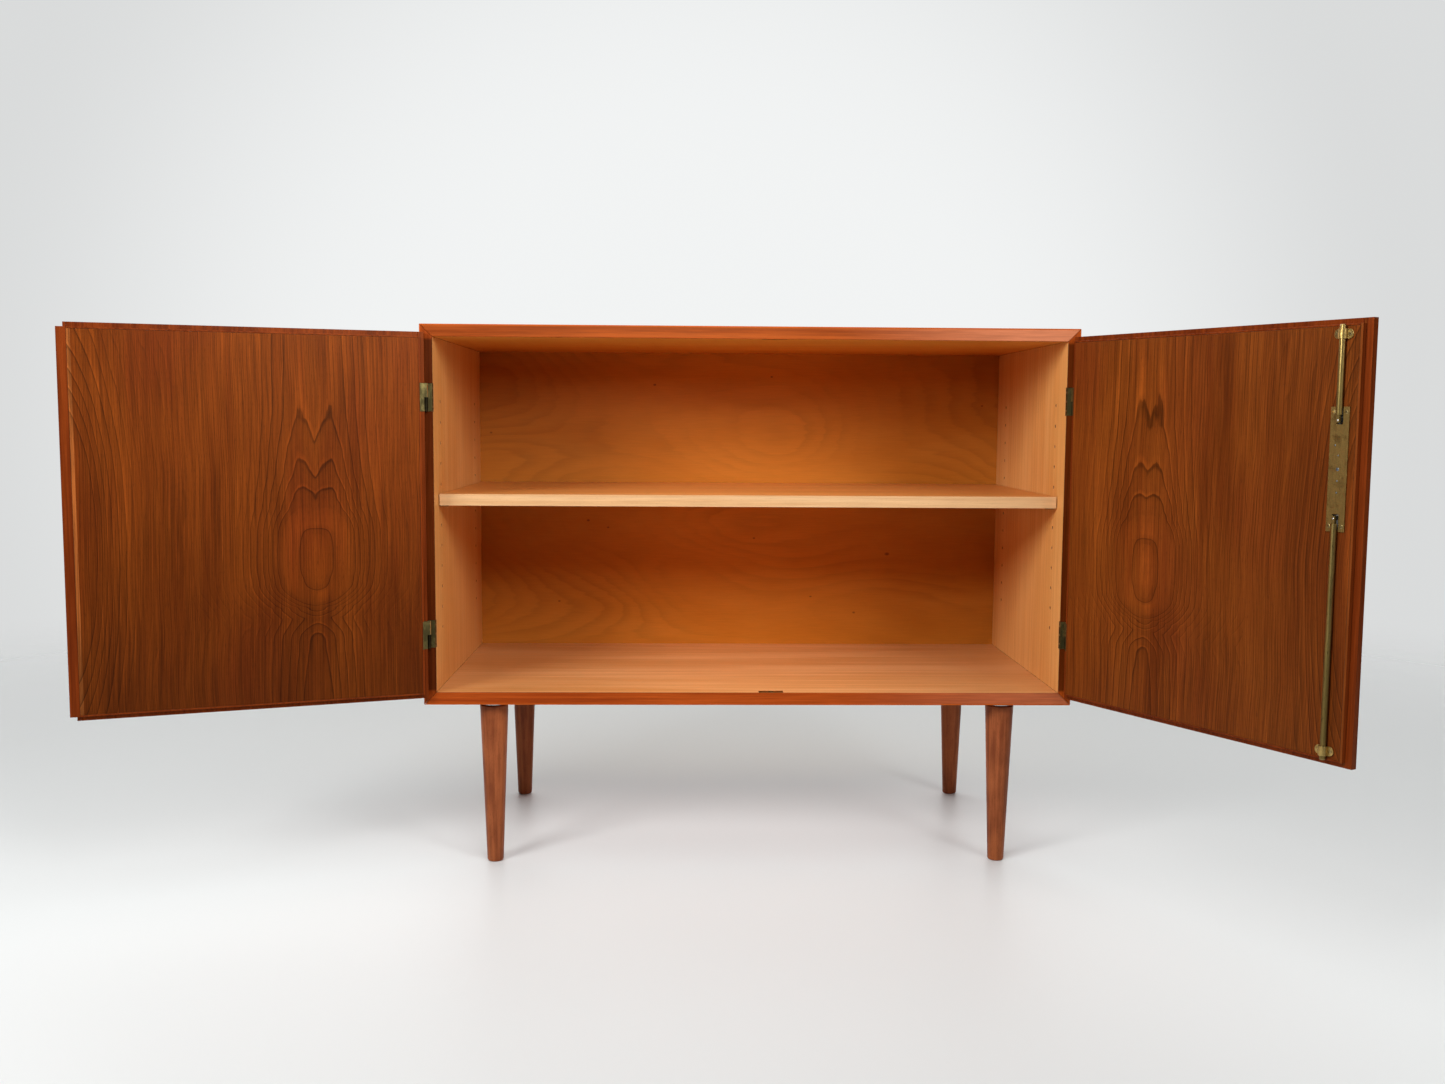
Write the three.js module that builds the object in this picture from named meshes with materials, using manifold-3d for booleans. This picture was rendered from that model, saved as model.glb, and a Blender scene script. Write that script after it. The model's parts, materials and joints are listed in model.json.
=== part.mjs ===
// A two-door cabinet on four turned legs: teak outside, beech inside, brass fittings.
// Millimetres, +Z up. X runs to the right along the front, Y from the doors (-Y) to the back (+Y).
// The origin is the centre of the top's upper face. The code below measures heights up from the
// carcass's underside, where the legs are fixed, and the whole is lowered into place at the end.
import * as THREE from 'three';
import { mergeVertices } from 'three/addons/utils/BufferGeometryUtils.js';
import Module from 'manifold-3d';

const wasm = await Module();
wasm.setup();

// ---- driving dimensions ----
const WIDTH = 1000;
const HEIGHT = 580;
const DEPTH = 470;
const BOARD = 19;
const GAP = 0.3;

const FRAME_LIPPING = 3;
const BACK_SETBACK = 456;
const BACK_THICKNESS = 6;
const BACK_REBATE = 10;

const SHELF_THICKNESS = 18;
const SHELF_UNDERSIDE = 304.5;
const SHELF_SETBACK = 36;
const SHELF_END_GAP = 1.5;
const SHELF_REAR_GAP = 4;
const SHELF_LIPPING = 5;

const PIN_HOLE_RADIUS = 2.6;
const PIN_HOLE_DEPTH = 10;
const PIN_HOLE_PITCH = 32;
const PIN_HOLE_COUNT = 12;
const PIN_HOLE_LOWEST = 112.5;
const PIN_HOLE_SETBACKS = [61, 392];
const SHELF_HOLE_INDEX = 6;
const PEG_RADIUS = 2.3;
const PEG_TONGUE = 2;
const PEG_TONGUE_WIDTH = 9;
const PEG_TONGUE_LENGTH = 11;
const PEG_FROM_TONGUE_END = 4;
const PEG_SHORT_OF_HOLE = 1;

const LEG_LENGTH = 251.4;
const LEG_TOP_RADIUS = 22;
const LEG_FOOT_RADIUS = 12.7;
const LEG_INSET_X = 101.5;
const LEG_INSET_FRONT = 40;
const LEG_INSET_REAR = 50;
const LEG_PLATE_RADIUS = 18;
const LEG_PLATE_THICKNESS = 6;
const LEG_BOLT_RADIUS = 4;
const LEG_BOLT_IN_LEG = 28;
const LEG_BOLT_IN_PANEL = 12;
const LEG_FOOT_FLAT_RADIUS = 10.1;
const LEG_FOOT_ROUNDING = 3;
const LEG_TOP_CHAMFER = 1;

// Doors. Each is a 16 mm board with rebates in its solid lippings: a front layer that laps over the
// carcass edges, and a back layer that stands inside the opening.
const DOOR_FRONT_LAYER = 9;
const DOOR_BACK_LAYER = 7;
const DOOR_LAP = 6;
const DOOR_FACE_GAP = 0.5;
const DOOR_EDGE_GAP = 0.8;
const DOOR_WIDTH_FROM_AXIS = 488.5;
const DOOR_LIPPING = 9;
const LEFT_TONGUE = 8.4;
const LEFT_TONGUE_GAP = 0.6;
const LEFT_FREE_LIPPING = 12.9;
const RIGHT_REBATE = 9;
const RIGHT_FREE_LIPPING = 12;
const LEFT_OPEN_DEG = 160.9;
const RIGHT_OPEN_DEG = 119.5;

// Hinges, lift-off, 42 mm tall: the frame leaf carries the pin and the door leaf drops onto it.
const HINGE_HEIGHT = 42;
const HINGE_FROM_END = 110;
const AXIS_INSET = 10.5;
const AXIS_FORWARD = 5.5;
const HINGE_EDGE = 3;
const KNUCKLE_RADIUS = 2.7;
const HINGE_PIN_RADIUS = 1.2;
const LEAF = 1.5;
const LEAF_LET_IN = LEAF + GAP;
const LEAF_RETURN = 8.5;
const FRAME_LEAF_SINK = 0.4;
const LEAF_SEAT = 0.1;
const DOOR_LEAF_SHORT = 0.4;
const WEB = 2;
const WEB_AHEAD = 1.2;
const NECK_SHORT = 0.5;
const HINGE_PIN_FOOT = 1;
const HINGE_PIN_SHORT = 2;
const HINGE_BORE_CAP = 1.5;

// Lock on the right door: a pinion turned by the key drives two racks, which push the rods out.
const LOCK_U = 455.5;
const LOCK_Z = 383.3;
const COVER_WIDTH = 25;
const COVER_HEIGHT = 153.5;
const COVER_THICKNESS = 1.5;
const NOTCH_WIDTH = 8.6;
const NOTCH_DEPTH = 21.5;
const CASE_HALF_WIDTH = 11;
const CASE_HALF_HEIGHT = 75;
const CASE_WALL = 1;
const CASE_DEPTH = 8;
const GEAR_MODULE = 1.25;
const GEAR_TEETH = 10;
const GEAR_WIDTH = 4;
const PRESSURE_ANGLE = THREE.MathUtils.degToRad(25);
const TOOTH_BACKLASH = 0.35;
const TOOTH_HEIGHT = 0.85;
const PINION_ROOT_DEPTH = 1.15;
const PINION_ROOT_TURN = 0.02;
const RACK_ROOT_DEPTH = 1.1;
const RACK_OUTER = 9.7;
const RACK_TEETH_AHEAD = 6;
const RACK_TEETH_BEHIND = 17;
const ROD_RADIUS = 3.75;
const ROD_TIP_CHAMFER = 1.2;
const ROD_LOCK_END = 57.2;
const ROD_TONGUE_LENGTH = 9.5;
const ROD_TONGUE_HALF = 2;
const RACK_FOOT_LENGTH = 6;
const RACK_FOOT_ROOT = 3;
const RACK_PIN_RADIUS = 0.9;
const GUIDE_WIDTH = 26;
const GUIDE_HEIGHT = 12;
const GUIDE_THICKNESS = 1.5;
const GUIDE_FROM_EDGE = 12;
const STRIKE_WIDTH = 37;
const STRIKE_DEPTH = 14;
const STRIKE_THICKNESS = 1.2;
const BOLT_HOLE_RADIUS = 4.6;
const BOLT_HOLE_DEPTH = 13;
const KEY_SHANK_RADIUS = 2.4;
const KEY_HOLE_RADIUS = 3;
const KEY_BIT = 1.6;
const KEY_BIT_REACH = 3.7;
const KEY_LENGTH = 22;
const KEY_END_GAP = 0.5;
const KEY_COLLAR_RADIUS = 3.8;
const KEY_COLLAR_LENGTH = 3;
const KEY_COLLAR_GAP = 1.2;
const KEY_BOW_RADIUS = 9;
const KEY_BOW_THICKNESS = 3;
const KEY_BOW_OFFSET = 8;
const ESCUTCHEON_RADIUS = 11;
const ESCUTCHEON_THICKNESS = 1.6;

// ---- derived places ----
const FRONT = -DEPTH / 2;
const REAR = DEPTH / 2;
const HALF = WIDTH / 2;
const OPENING_HALF = HALF - BOARD;
const OPENING_LOW = BOARD;
const OPENING_HIGH = HEIGHT - BOARD;
const AXIS_Y = FRONT - AXIS_FORWARD;
const AXIS_X = HALF - AXIS_INSET;
// Door layers, as Y in the door's own frame, whose origin is the hinge axis.
const BACK_FACE = AXIS_FORWARD - DOOR_FACE_GAP + DOOR_BACK_LAYER;
const LAP_PLANE = AXIS_FORWARD - DOOR_FACE_GAP;
const FRONT_FACE = LAP_PLANE - DOOR_FRONT_LAYER;
const LAP_LOW = OPENING_LOW - DOOR_LAP;
const LAP_HIGH = OPENING_HIGH + DOOR_LAP;
const STEP_LOW = OPENING_LOW + DOOR_EDGE_GAP;
const STEP_HIGH = OPENING_HIGH - DOOR_EDGE_GAP;
const HINGE_STEP = BOARD - AXIS_INSET + DOOR_EDGE_GAP;
const ROD_Y = BACK_FACE + GAP + ROD_RADIUS;
const PITCH_RADIUS = (GEAR_MODULE * GEAR_TEETH) / 2;
const CASE_FLOOR = BACK_FACE - CASE_DEPTH;
const GEAR_LOW = CASE_FLOOR + CASE_WALL + GAP;
const GEAR_HIGH = GEAR_LOW + GEAR_WIDTH;

// ---- materials ----
const finish = (color, roughness, metalness = 0) =>
  new THREE.MeshStandardMaterial({ color, roughness, metalness });
const teakVeneer = finish(0x8a4a22, 0.5);
const teakSolid = finish(0x9c4a20, 0.48);
const beech = finish(0xd38a50, 0.5);
const beechLight = finish(0xe6bd86, 0.5);
const backPly = finish(0xb8612a, 0.55);
const brass = finish(0xa98a4c, 0.35, 1);
const brassRod = finish(0x9c8250, 0.38, 1);
const steel = finish(0x9a9a98, 0.35, 1);
const legStain = finish(0x7c4426, 0.42);

// ---- solids and booleans ----
// The tools that cut a solid reach at least 1 mm past the faces that they open.
function box(x0, x1, y0, y1, z0, z1) {
  const geometry = new THREE.BoxGeometry(Math.abs(x1 - x0), Math.abs(y1 - y0), Math.abs(z1 - z0));
  geometry.translate((x0 + x1) / 2, (y0 + y1) / 2, (z0 + z1) / 2);
  return geometry;
}

// A cylinder from one point to another along X, Y or Z.
function rod(axis, radius, from, to, a, b, segments = 20) {
  const geometry = new THREE.CylinderGeometry(radius, radius, Math.abs(to - from), segments);
  const middle = (from + to) / 2;
  if (axis === 'x') return geometry.rotateZ(Math.PI / 2).translate(middle, a, b);
  if (axis === 'y') return geometry.translate(a, middle, b);
  return geometry.rotateX(Math.PI / 2).translate(a, b, middle);
}

// An outline drawn in X and Z, given thickness along Y.
function plateXZ(shape, y0, y1, curveSegments = 12) {
  const geometry = new THREE.ExtrudeGeometry(shape, { depth: y1 - y0, bevelEnabled: false, curveSegments });
  return geometry.rotateX(Math.PI / 2).translate(0, y1, 0);
}

// An outline drawn in X and Y, given height along Z.
function plateXY(shape, z0, z1, curveSegments = 12) {
  const geometry = new THREE.ExtrudeGeometry(shape, { depth: z1 - z0, bevelEnabled: false, curveSegments });
  return geometry.translate(0, 0, z0);
}

function polygon(points) {
  return new THREE.Shape(points.map(([x, y]) => new THREE.Vector2(x, y)));
}

function toSolid(geometry) {
  const bare = geometry.clone();
  bare.deleteAttribute('normal');
  bare.deleteAttribute('uv');
  bare.clearGroups();
  const merged = mergeVertices(bare, 1e-4);
  return new wasm.Manifold(new wasm.Mesh({
    numProp: 3,
    vertProperties: merged.attributes.position.array,
    triVerts: new Uint32Array(merged.index.array),
  }));
}

function toGeometry(solid) {
  const mesh = solid.getMesh();
  const geometry = new THREE.BufferGeometry();
  geometry.setAttribute('position', new THREE.BufferAttribute(new Float32Array(mesh.vertProperties), 3));
  geometry.setIndex(new THREE.BufferAttribute(new Uint32Array(mesh.triVerts), 1));
  const facets = geometry.toNonIndexed();
  facets.computeVertexNormals();
  return facets;
}

function join(...pieces) {
  return toGeometry(pieces.map(toSolid).reduce((whole, next) => whole.add(next)));
}

function cut(piece, ...tools) {
  return toGeometry(tools.map(toSolid).reduce((rest, tool) => rest.subtract(tool), toSolid(piece)));
}

function add(group, name, geometry, material) {
  const mesh = new THREE.Mesh(geometry, material);
  mesh.name = name;
  group.add(mesh);
}

// ---- carcass ----
// A board of the mitred frame, as its outline in X and Z. Each mitre gives up half of the joint gap.
const MITRE = GAP / Math.SQRT2;

function horizontalOutline(outer, inner) {
  return polygon([
    [-HALF + MITRE, outer],
    [HALF - MITRE, outer],
    [OPENING_HALF - MITRE, inner],
    [-OPENING_HALF + MITRE, inner],
  ]);
}

function sideOutline(side) {
  return polygon([
    [side * HALF, MITRE],
    [side * HALF, HEIGHT - MITRE],
    [side * OPENING_HALF, OPENING_HIGH - MITRE],
    [side * OPENING_HALF, OPENING_LOW + MITRE],
  ]);
}

// The mortise of one hinge's frame leaf: across the front edge from the knuckle, then back along the
// inside face.
function hingeMortises(side) {
  const tools = [];
  for (const z of [HINGE_FROM_END, HEIGHT - HINGE_FROM_END]) {
    const low = z - HINGE_HEIGHT / 2 - GAP;
    const high = z + HINGE_HEIGHT / 2 + GAP;
    const outer = side * (AXIS_X + WEB / 2 + GAP);
    const beyond = side * (OPENING_HALF - 1);
    tools.push(box(outer, beyond, FRONT - 1, FRONT + LEAF_LET_IN, low, high));
    const sunk = side * (OPENING_HALF + FRAME_LEAF_SINK + LEAF + GAP);
    tools.push(box(sunk, beyond, FRONT - 1, FRONT + LEAF_RETURN + GAP, low, high));
  }
  return tools;
}

function pinHoles(side) {
  const tools = [];
  for (const setback of PIN_HOLE_SETBACKS) {
    for (let i = 0; i < PIN_HOLE_COUNT; i += 1) {
      const z = PIN_HOLE_LOWEST + i * PIN_HOLE_PITCH;
      const mouth = side * (OPENING_HALF - 1);
      const end = side * (OPENING_HALF + PIN_HOLE_DEPTH);
      tools.push(rod('x', PIN_HOLE_RADIUS, mouth, end, FRONT + setback, z, 8));
    }
  }
  return tools;
}

function backRebate() {
  const reachX = OPENING_HALF + BACK_REBATE;
  const front = FRONT + BACK_SETBACK - GAP;
  return box(-reachX, reachX, front, REAR + 1, OPENING_LOW - BACK_REBATE, OPENING_HIGH + BACK_REBATE);
}

// Where a rod of the lock meets the carcass when the right door is shut.
const STRIKE_X = AXIS_X - LOCK_U;
const STRIKE_Y = AXIS_Y + ROD_Y;

// The let-in bed of a strike plate and the hole for the rod, in the panel whose inside face is at z.
function strikeBed(z, into) {
  const bedHalf = STRIKE_WIDTH / 2 + GAP;
  const front = STRIKE_Y - STRIKE_DEPTH / 2 - GAP;
  const rear = STRIKE_Y + STRIKE_DEPTH / 2 + GAP;
  const bed = into * (STRIKE_THICKNESS + GAP);
  return [
    box(STRIKE_X - bedHalf, STRIKE_X + bedHalf, front, rear, z - into, z + bed),
    rod('z', BOLT_HOLE_RADIUS, z - into, z + into * BOLT_HOLE_DEPTH, STRIKE_X, STRIKE_Y),
  ];
}

const legPlaces = [
  ['front_left', -HALF + LEG_INSET_X, FRONT + LEG_INSET_FRONT],
  ['front_right', HALF - LEG_INSET_X, FRONT + LEG_INSET_FRONT],
  ['rear_left', -HALF + LEG_INSET_X, REAR - LEG_INSET_REAR],
  ['rear_right', HALF - LEG_INSET_X, REAR - LEG_INSET_REAR],
];

function legBoltHoles() {
  const radius = LEG_BOLT_RADIUS + GAP;
  return legPlaces.map(([, x, y]) => rod('z', radius, -1, LEG_BOLT_IN_PANEL + GAP, x, y, 16));
}

function addCarcass(group) {
  const behind = FRONT + FRAME_LIPPING + GAP;
  const lippingEnd = FRONT + FRAME_LIPPING;
  const topOutline = horizontalOutline(HEIGHT, OPENING_HIGH);
  const bottomOutline = horizontalOutline(0, OPENING_LOW);
  const topStrike = strikeBed(OPENING_HIGH, 1);
  const bottomStrike = strikeBed(OPENING_LOW, -1);
  const rebate = backRebate();
  add(group, 'top_panel', cut(plateXZ(topOutline, behind, REAR), rebate, ...topStrike), teakVeneer);
  const bottomPanel = cut(plateXZ(bottomOutline, behind, REAR), rebate, ...bottomStrike, ...legBoltHoles());
  add(group, 'bottom_panel', bottomPanel, teakVeneer);
  add(group, 'top_front_lipping', plateXZ(topOutline, FRONT, lippingEnd), teakSolid);
  add(group, 'bottom_front_lipping', plateXZ(bottomOutline, FRONT, lippingEnd), teakSolid);
  for (const [word, side] of [['left', -1], ['right', 1]]) {
    const outline = sideOutline(side);
    const mortises = hingeMortises(side);
    const panel = cut(plateXZ(outline, behind, REAR), rebate, ...mortises, ...pinHoles(side));
    add(group, `${word}_side_panel`, panel, teakVeneer);
    add(group, `${word}_front_lipping`, cut(plateXZ(outline, FRONT, lippingEnd), ...mortises), teakSolid);
  }
  const backX = OPENING_HALF + BACK_REBATE - GAP;
  const backFront = FRONT + BACK_SETBACK;
  const backLow = OPENING_LOW - BACK_REBATE + GAP;
  const backHigh = OPENING_HIGH + BACK_REBATE - GAP;
  add(group, 'back_panel', box(-backX, backX, backFront, backFront + BACK_THICKNESS, backLow, backHigh), backPly);
}

function addStrikes(group) {
  for (const [word, z, into] of [['upper', OPENING_HIGH, 1], ['lower', OPENING_LOW, -1]]) {
    const plate = box(
      STRIKE_X - STRIKE_WIDTH / 2, STRIKE_X + STRIKE_WIDTH / 2,
      STRIKE_Y - STRIKE_DEPTH / 2, STRIKE_Y + STRIKE_DEPTH / 2,
      z, z + into * STRIKE_THICKNESS,
    );
    const hole = rod('z', BOLT_HOLE_RADIUS, z - 3, z + 3, STRIKE_X, STRIKE_Y);
    add(group, `${word}_strike_plate`, cut(plate, hole), brass);
  }
}

// ---- shelf and its pins ----
function addShelf(group) {
  const end = OPENING_HALF - SHELF_END_GAP;
  const front = FRONT + SHELF_SETBACK;
  const rear = FRONT + BACK_SETBACK - SHELF_REAR_GAP;
  const top = SHELF_UNDERSIDE + SHELF_THICKNESS;
  const boardFront = front + SHELF_LIPPING + GAP;
  add(group, 'shelf_board', box(-end, end, boardFront, rear, SHELF_UNDERSIDE, top), beech);
  add(group, 'shelf_front_lipping', box(-end, end, front, front + SHELF_LIPPING, SHELF_UNDERSIDE, top), beechLight);
}

// A spade pin: a round peg in the side's hole, and a flat tongue that the shelf lies on.
function addShelfPins(group) {
  const holeZ = PIN_HOLE_LOWEST + SHELF_HOLE_INDEX * PIN_HOLE_PITCH;
  const tongueTop = SHELF_UNDERSIDE - GAP;
  for (const [word, side] of [['left', -1], ['right', 1]]) {
    for (const [place, setback] of [['front', PIN_HOLE_SETBACKS[0]], ['rear', PIN_HOLE_SETBACKS[1]]]) {
      const y = FRONT + setback;
      const face = side * (OPENING_HALF - GAP);
      const pegEnd = side * (OPENING_HALF + PIN_HOLE_DEPTH - PEG_SHORT_OF_HOLE);
      const inner = face - side * PEG_TONGUE_LENGTH;
      const peg = rod('x', PEG_RADIUS, inner + side * PEG_FROM_TONGUE_END, pegEnd, y, holeZ, 12);
      const tongue = box(
        inner, face, y - PEG_TONGUE_WIDTH / 2, y + PEG_TONGUE_WIDTH / 2,
        tongueTop - PEG_TONGUE, tongueTop,
      );
      const above = box(
        inner - side, face, y - PEG_TONGUE_WIDTH, y + PEG_TONGUE_WIDTH, tongueTop, tongueTop + 2 * PEG_RADIUS,
      );
      add(group, `shelf_pin_${place}_${word}`, cut(join(peg, tongue), above), brass);
    }
  }
}

// ---- legs ----
// A turned leg: a straight taper, its foot's edge rounded in two steps and its top edge chamfered.
function legGeometry(top) {
  const foot = top - LEG_LENGTH;
  const rounded = (LEG_FOOT_FLAT_RADIUS + 2 * LEG_FOOT_RADIUS) / 3;
  const points = [
    [0, foot],
    [LEG_FOOT_FLAT_RADIUS, foot],
    [rounded, foot + LEG_FOOT_ROUNDING / 3],
    [LEG_FOOT_RADIUS, foot + LEG_FOOT_ROUNDING],
    [LEG_TOP_RADIUS, top - LEG_TOP_CHAMFER],
    [LEG_TOP_RADIUS - LEG_TOP_CHAMFER, top],
    [0, top],
  ].map(([radius, z]) => new THREE.Vector2(radius, z));
  return new THREE.LatheGeometry(points, 32).rotateX(Math.PI / 2);
}

function addLegs(group) {
  const plateTop = -GAP;
  const plateLow = plateTop - LEG_PLATE_THICKNESS;
  const legTop = plateLow - GAP;
  for (const [place, x, y] of legPlaces) {
    const boltHole = rod('z', LEG_BOLT_RADIUS + GAP, legTop - LEG_BOLT_IN_LEG - GAP, 1, 0, 0, 16);
    const leg = cut(legGeometry(legTop), boltHole).translate(x, y, 0);
    const plate = cut(rod('z', LEG_PLATE_RADIUS, plateLow, plateTop, 0, 0, 32), boltHole).translate(x, y, 0);
    add(group, `${place}_leg`, leg, legStain);
    add(group, `${place}_leg_plate`, plate, steel);
    const bolt = rod('z', LEG_BOLT_RADIUS, legTop - LEG_BOLT_IN_LEG, LEG_BOLT_IN_PANEL, x, y, 16);
    add(group, `${place}_leg_bolt`, bolt, steel);
  }
}

// ---- hinges, in a frame whose origin is the hinge axis ----
// The frame leaf: lower half of the knuckle with the pin, a web back to the front edge, a plate let
// into that edge and a return sunk into the inside face. toward is +1 when the door lies to +X.
function frameLeaf(toward, z) {
  const low = z - HINGE_HEIGHT / 2;
  const high = z + HINGE_HEIGHT / 2;
  const half = z - GAP / 2;
  const x = (value) => toward * value;
  const knuckle = rod('z', KNUCKLE_RADIUS, low, half, 0, 0, 20);
  const pin = rod('z', HINGE_PIN_RADIUS, low + HINGE_PIN_FOOT, high - HINGE_PIN_SHORT, 0, 0, 12);
  const web = box(x(-WEB / 2), x(WEB / 2), 0, AXIS_FORWARD + LEAF / 2, low, half);
  const face = BOARD - AXIS_INSET - FRAME_LEAF_SINK;
  const edgeFront = AXIS_FORWARD + LEAF_SEAT;
  const edgePlate = box(x(-WEB / 2), x(face), edgeFront, AXIS_FORWARD + LEAF, low, high);
  const back = box(x(face - LEAF), x(face), edgeFront, AXIS_FORWARD + LEAF_RETURN, low, high);
  return join(knuckle, pin, web, edgePlate, back);
}

// The door leaf: upper half of the knuckle, bored for the pin, a web, a plate let into the lap and a
// return let into the edge of the back layer.
function doorLeaf(toward, z) {
  const low = z - HINGE_HEIGHT / 2;
  const high = z + HINGE_HEIGHT / 2;
  const half = z + GAP / 2;
  const x = (value) => toward * value;
  const knuckle = rod('z', KNUCKLE_RADIUS, half, high, 0, 0, 20);
  const plateFront = LAP_PLANE - LEAF;
  const plateBack = LAP_PLANE - LEAF_SEAT;
  const web = box(x(-WEB / 2 + GAP), x(HINGE_EDGE + 1), plateFront - WEB_AHEAD, plateBack, half, high);
  const plate = box(x(HINGE_EDGE + GAP), x(HINGE_STEP + LEAF), plateFront, plateBack, low, high);
  const backEnd = BACK_FACE - DOOR_LEAF_SHORT;
  const back = box(x(HINGE_STEP + LEAF_SEAT), x(HINGE_STEP + LEAF), plateFront, backEnd, low, high);
  const neck = box(x(0), x(WEB / 2), 0, LAP_PLANE - NECK_SHORT, half, high);
  const bore = rod('z', HINGE_PIN_RADIUS + GAP, half - 1, high - HINGE_BORE_CAP, 0, 0, 12);
  return cut(join(knuckle, neck, web, plate, back), bore);
}

// The let-in bed of the door leaves, cut from the door's hinge lipping.
function doorLeafBeds(toward) {
  const tools = [];
  for (const z of [HINGE_FROM_END, HEIGHT - HINGE_FROM_END]) {
    const low = z - HINGE_HEIGHT / 2 - GAP;
    const high = z + HINGE_HEIGHT / 2 + GAP;
    const x = (value) => toward * value;
    const bed = LAP_PLANE - LEAF_LET_IN;
    tools.push(box(x(HINGE_EDGE - 1), x(HINGE_EDGE + 1 + GAP), bed - WEB_AHEAD, LAP_PLANE + 1, z - GAP, high));
    tools.push(box(x(HINGE_EDGE - 1), x(HINGE_STEP + LEAF_LET_IN), bed, LAP_PLANE + 1, low, high));
    tools.push(box(x(HINGE_STEP - 1), x(HINGE_STEP + LEAF_LET_IN), bed, BACK_FACE + 1, low, high));
  }
  return tools;
}

function addHinges(root, door, word, toward) {
  const places = [['lower', HINGE_FROM_END], ['upper', HEIGHT - HINGE_FROM_END]];
  for (const [level, z] of places) {
    const leaf = frameLeaf(toward, z).translate(-toward * AXIS_X, AXIS_Y, 0);
    add(root, `${word}_${level}_hinge_frame_leaf`, leaf, brass);
    add(door, `${word}_${level}_hinge_door_leaf`, doorLeaf(toward, z), brass);
  }
}

// ---- doors, in a frame whose origin is the hinge axis and whose X runs along the shut door ----
// Two layers of one lipping: the front layer to the lap's outline, the back layer inside the opening.
function layers(x, frontU, backU, frontZ, backZ) {
  const front = box(x(frontU[0]), x(frontU[1]), FRONT_FACE, LAP_PLANE, ...frontZ);
  const back = box(x(backU[0]), x(backU[1]), LAP_PLANE - 1, BACK_FACE, ...backZ);
  return join(front, back);
}

function addDoor(door, word, toward) {
  const x = (value) => toward * value;
  const left = word === 'left';
  const freeEdge = DOOR_WIDTH_FROM_AXIS;
  const backFree = left ? freeEdge + LEFT_TONGUE : freeEdge - RIGHT_REBATE;
  const hingeJoint = HINGE_EDGE + DOOR_LIPPING;
  const freeJoint = left ? backFree - LEFT_FREE_LIPPING : freeEdge - RIGHT_FREE_LIPPING;
  const fullZ = [LAP_LOW, LAP_HIGH];
  const stepZ = [STEP_LOW, STEP_HIGH];
  const middle = [hingeJoint + GAP, freeJoint - GAP];

  const hingeLipping = layers(x, [HINGE_EDGE, hingeJoint], [HINGE_STEP, hingeJoint], fullZ, stepZ);
  add(door, `${word}_door_hinge_lipping`, cut(hingeLipping, ...doorLeafBeds(toward)), teakSolid);

  let freeLipping = layers(x, [freeJoint, freeEdge], [freeJoint, backFree], fullZ, stepZ);
  if (left) {
    const relief = box(x(freeEdge), x(backFree + 1), FRONT_FACE, LAP_PLANE + LEFT_TONGUE_GAP, 0, HEIGHT);
    freeLipping = cut(freeLipping, relief);
  }
  add(door, `${word}_door_free_lipping`, freeLipping, teakSolid);

  const inner = DOOR_LIPPING;
  const lowFront = [LAP_LOW, LAP_LOW + inner];
  const lowBack = [STEP_LOW, LAP_LOW + inner];
  const highFront = [LAP_HIGH - inner, LAP_HIGH];
  const highBack = [LAP_HIGH - inner, STEP_HIGH];
  add(door, `${word}_door_bottom_lipping`, layers(x, middle, middle, lowFront, lowBack), teakSolid);
  add(door, `${word}_door_top_lipping`, layers(x, middle, middle, highFront, highBack), teakSolid);

  const low = LAP_LOW + inner + GAP;
  const high = LAP_HIGH - inner - GAP;
  const panel = box(x(middle[0]), x(middle[1]), FRONT_FACE, BACK_FACE, low, high);
  add(door, `${word}_door_panel`, left ? panel : cut(panel, ...lockMortise(x)), teakVeneer);
}

// ---- lock, in the right door's frame ----
// Everything on the lock is drawn about the pinion's axis and then moved to its place on the door.
const onLock = (geometry) => geometry.translate(-LOCK_U, 0, LOCK_Z);

function lockMortise(x) {
  const half = CASE_HALF_WIDTH + GAP;
  const tall = CASE_HALF_HEIGHT + GAP;
  const u = x(LOCK_U);
  return [
    box(u - half, u + half, CASE_FLOOR - GAP, BACK_FACE + 1, LOCK_Z - tall, LOCK_Z + tall),
    rod('y', KEY_BIT_REACH + GAP, FRONT_FACE - 1, CASE_FLOOR, u, LOCK_Z),
  ];
}

function lockCase() {
  const outer = box(
    -CASE_HALF_WIDTH, CASE_HALF_WIDTH, CASE_FLOOR, BACK_FACE, -CASE_HALF_HEIGHT, CASE_HALF_HEIGHT,
  );
  const width = CASE_HALF_WIDTH - CASE_WALL;
  const height = CASE_HALF_HEIGHT - CASE_WALL;
  const inside = box(-width, width, CASE_FLOOR + CASE_WALL, BACK_FACE + 1, -height, height);
  const keyHole = rod('y', KEY_BIT_REACH + GAP, CASE_FLOOR - 1, CASE_FLOOR + 2, 0, 0);
  return cut(outer, inside, keyHole);
}

function lockCover() {
  const y0 = BACK_FACE + GAP;
  const y1 = y0 + COVER_THICKNESS;
  const plate = box(-COVER_WIDTH / 2, COVER_WIDTH / 2, y0, y1, -COVER_HEIGHT / 2, COVER_HEIGHT / 2);
  const half = NOTCH_WIDTH / 2;
  const end = COVER_HEIGHT / 2;
  return cut(
    plate,
    box(-half, half, y0 - 1, y1 + 1, end - NOTCH_DEPTH, end + 1),
    box(-half, half, y0 - 1, y1 + 1, -end - 1, -end + NOTCH_DEPTH),
  );
}

// The pinion: involute teeth about a hub with a slot for the key's bit.
function involutePoint(base, angle) {
  return [
    base * (Math.cos(angle) + angle * Math.sin(angle)),
    base * (Math.sin(angle) - angle * Math.cos(angle)),
  ];
}

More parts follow.
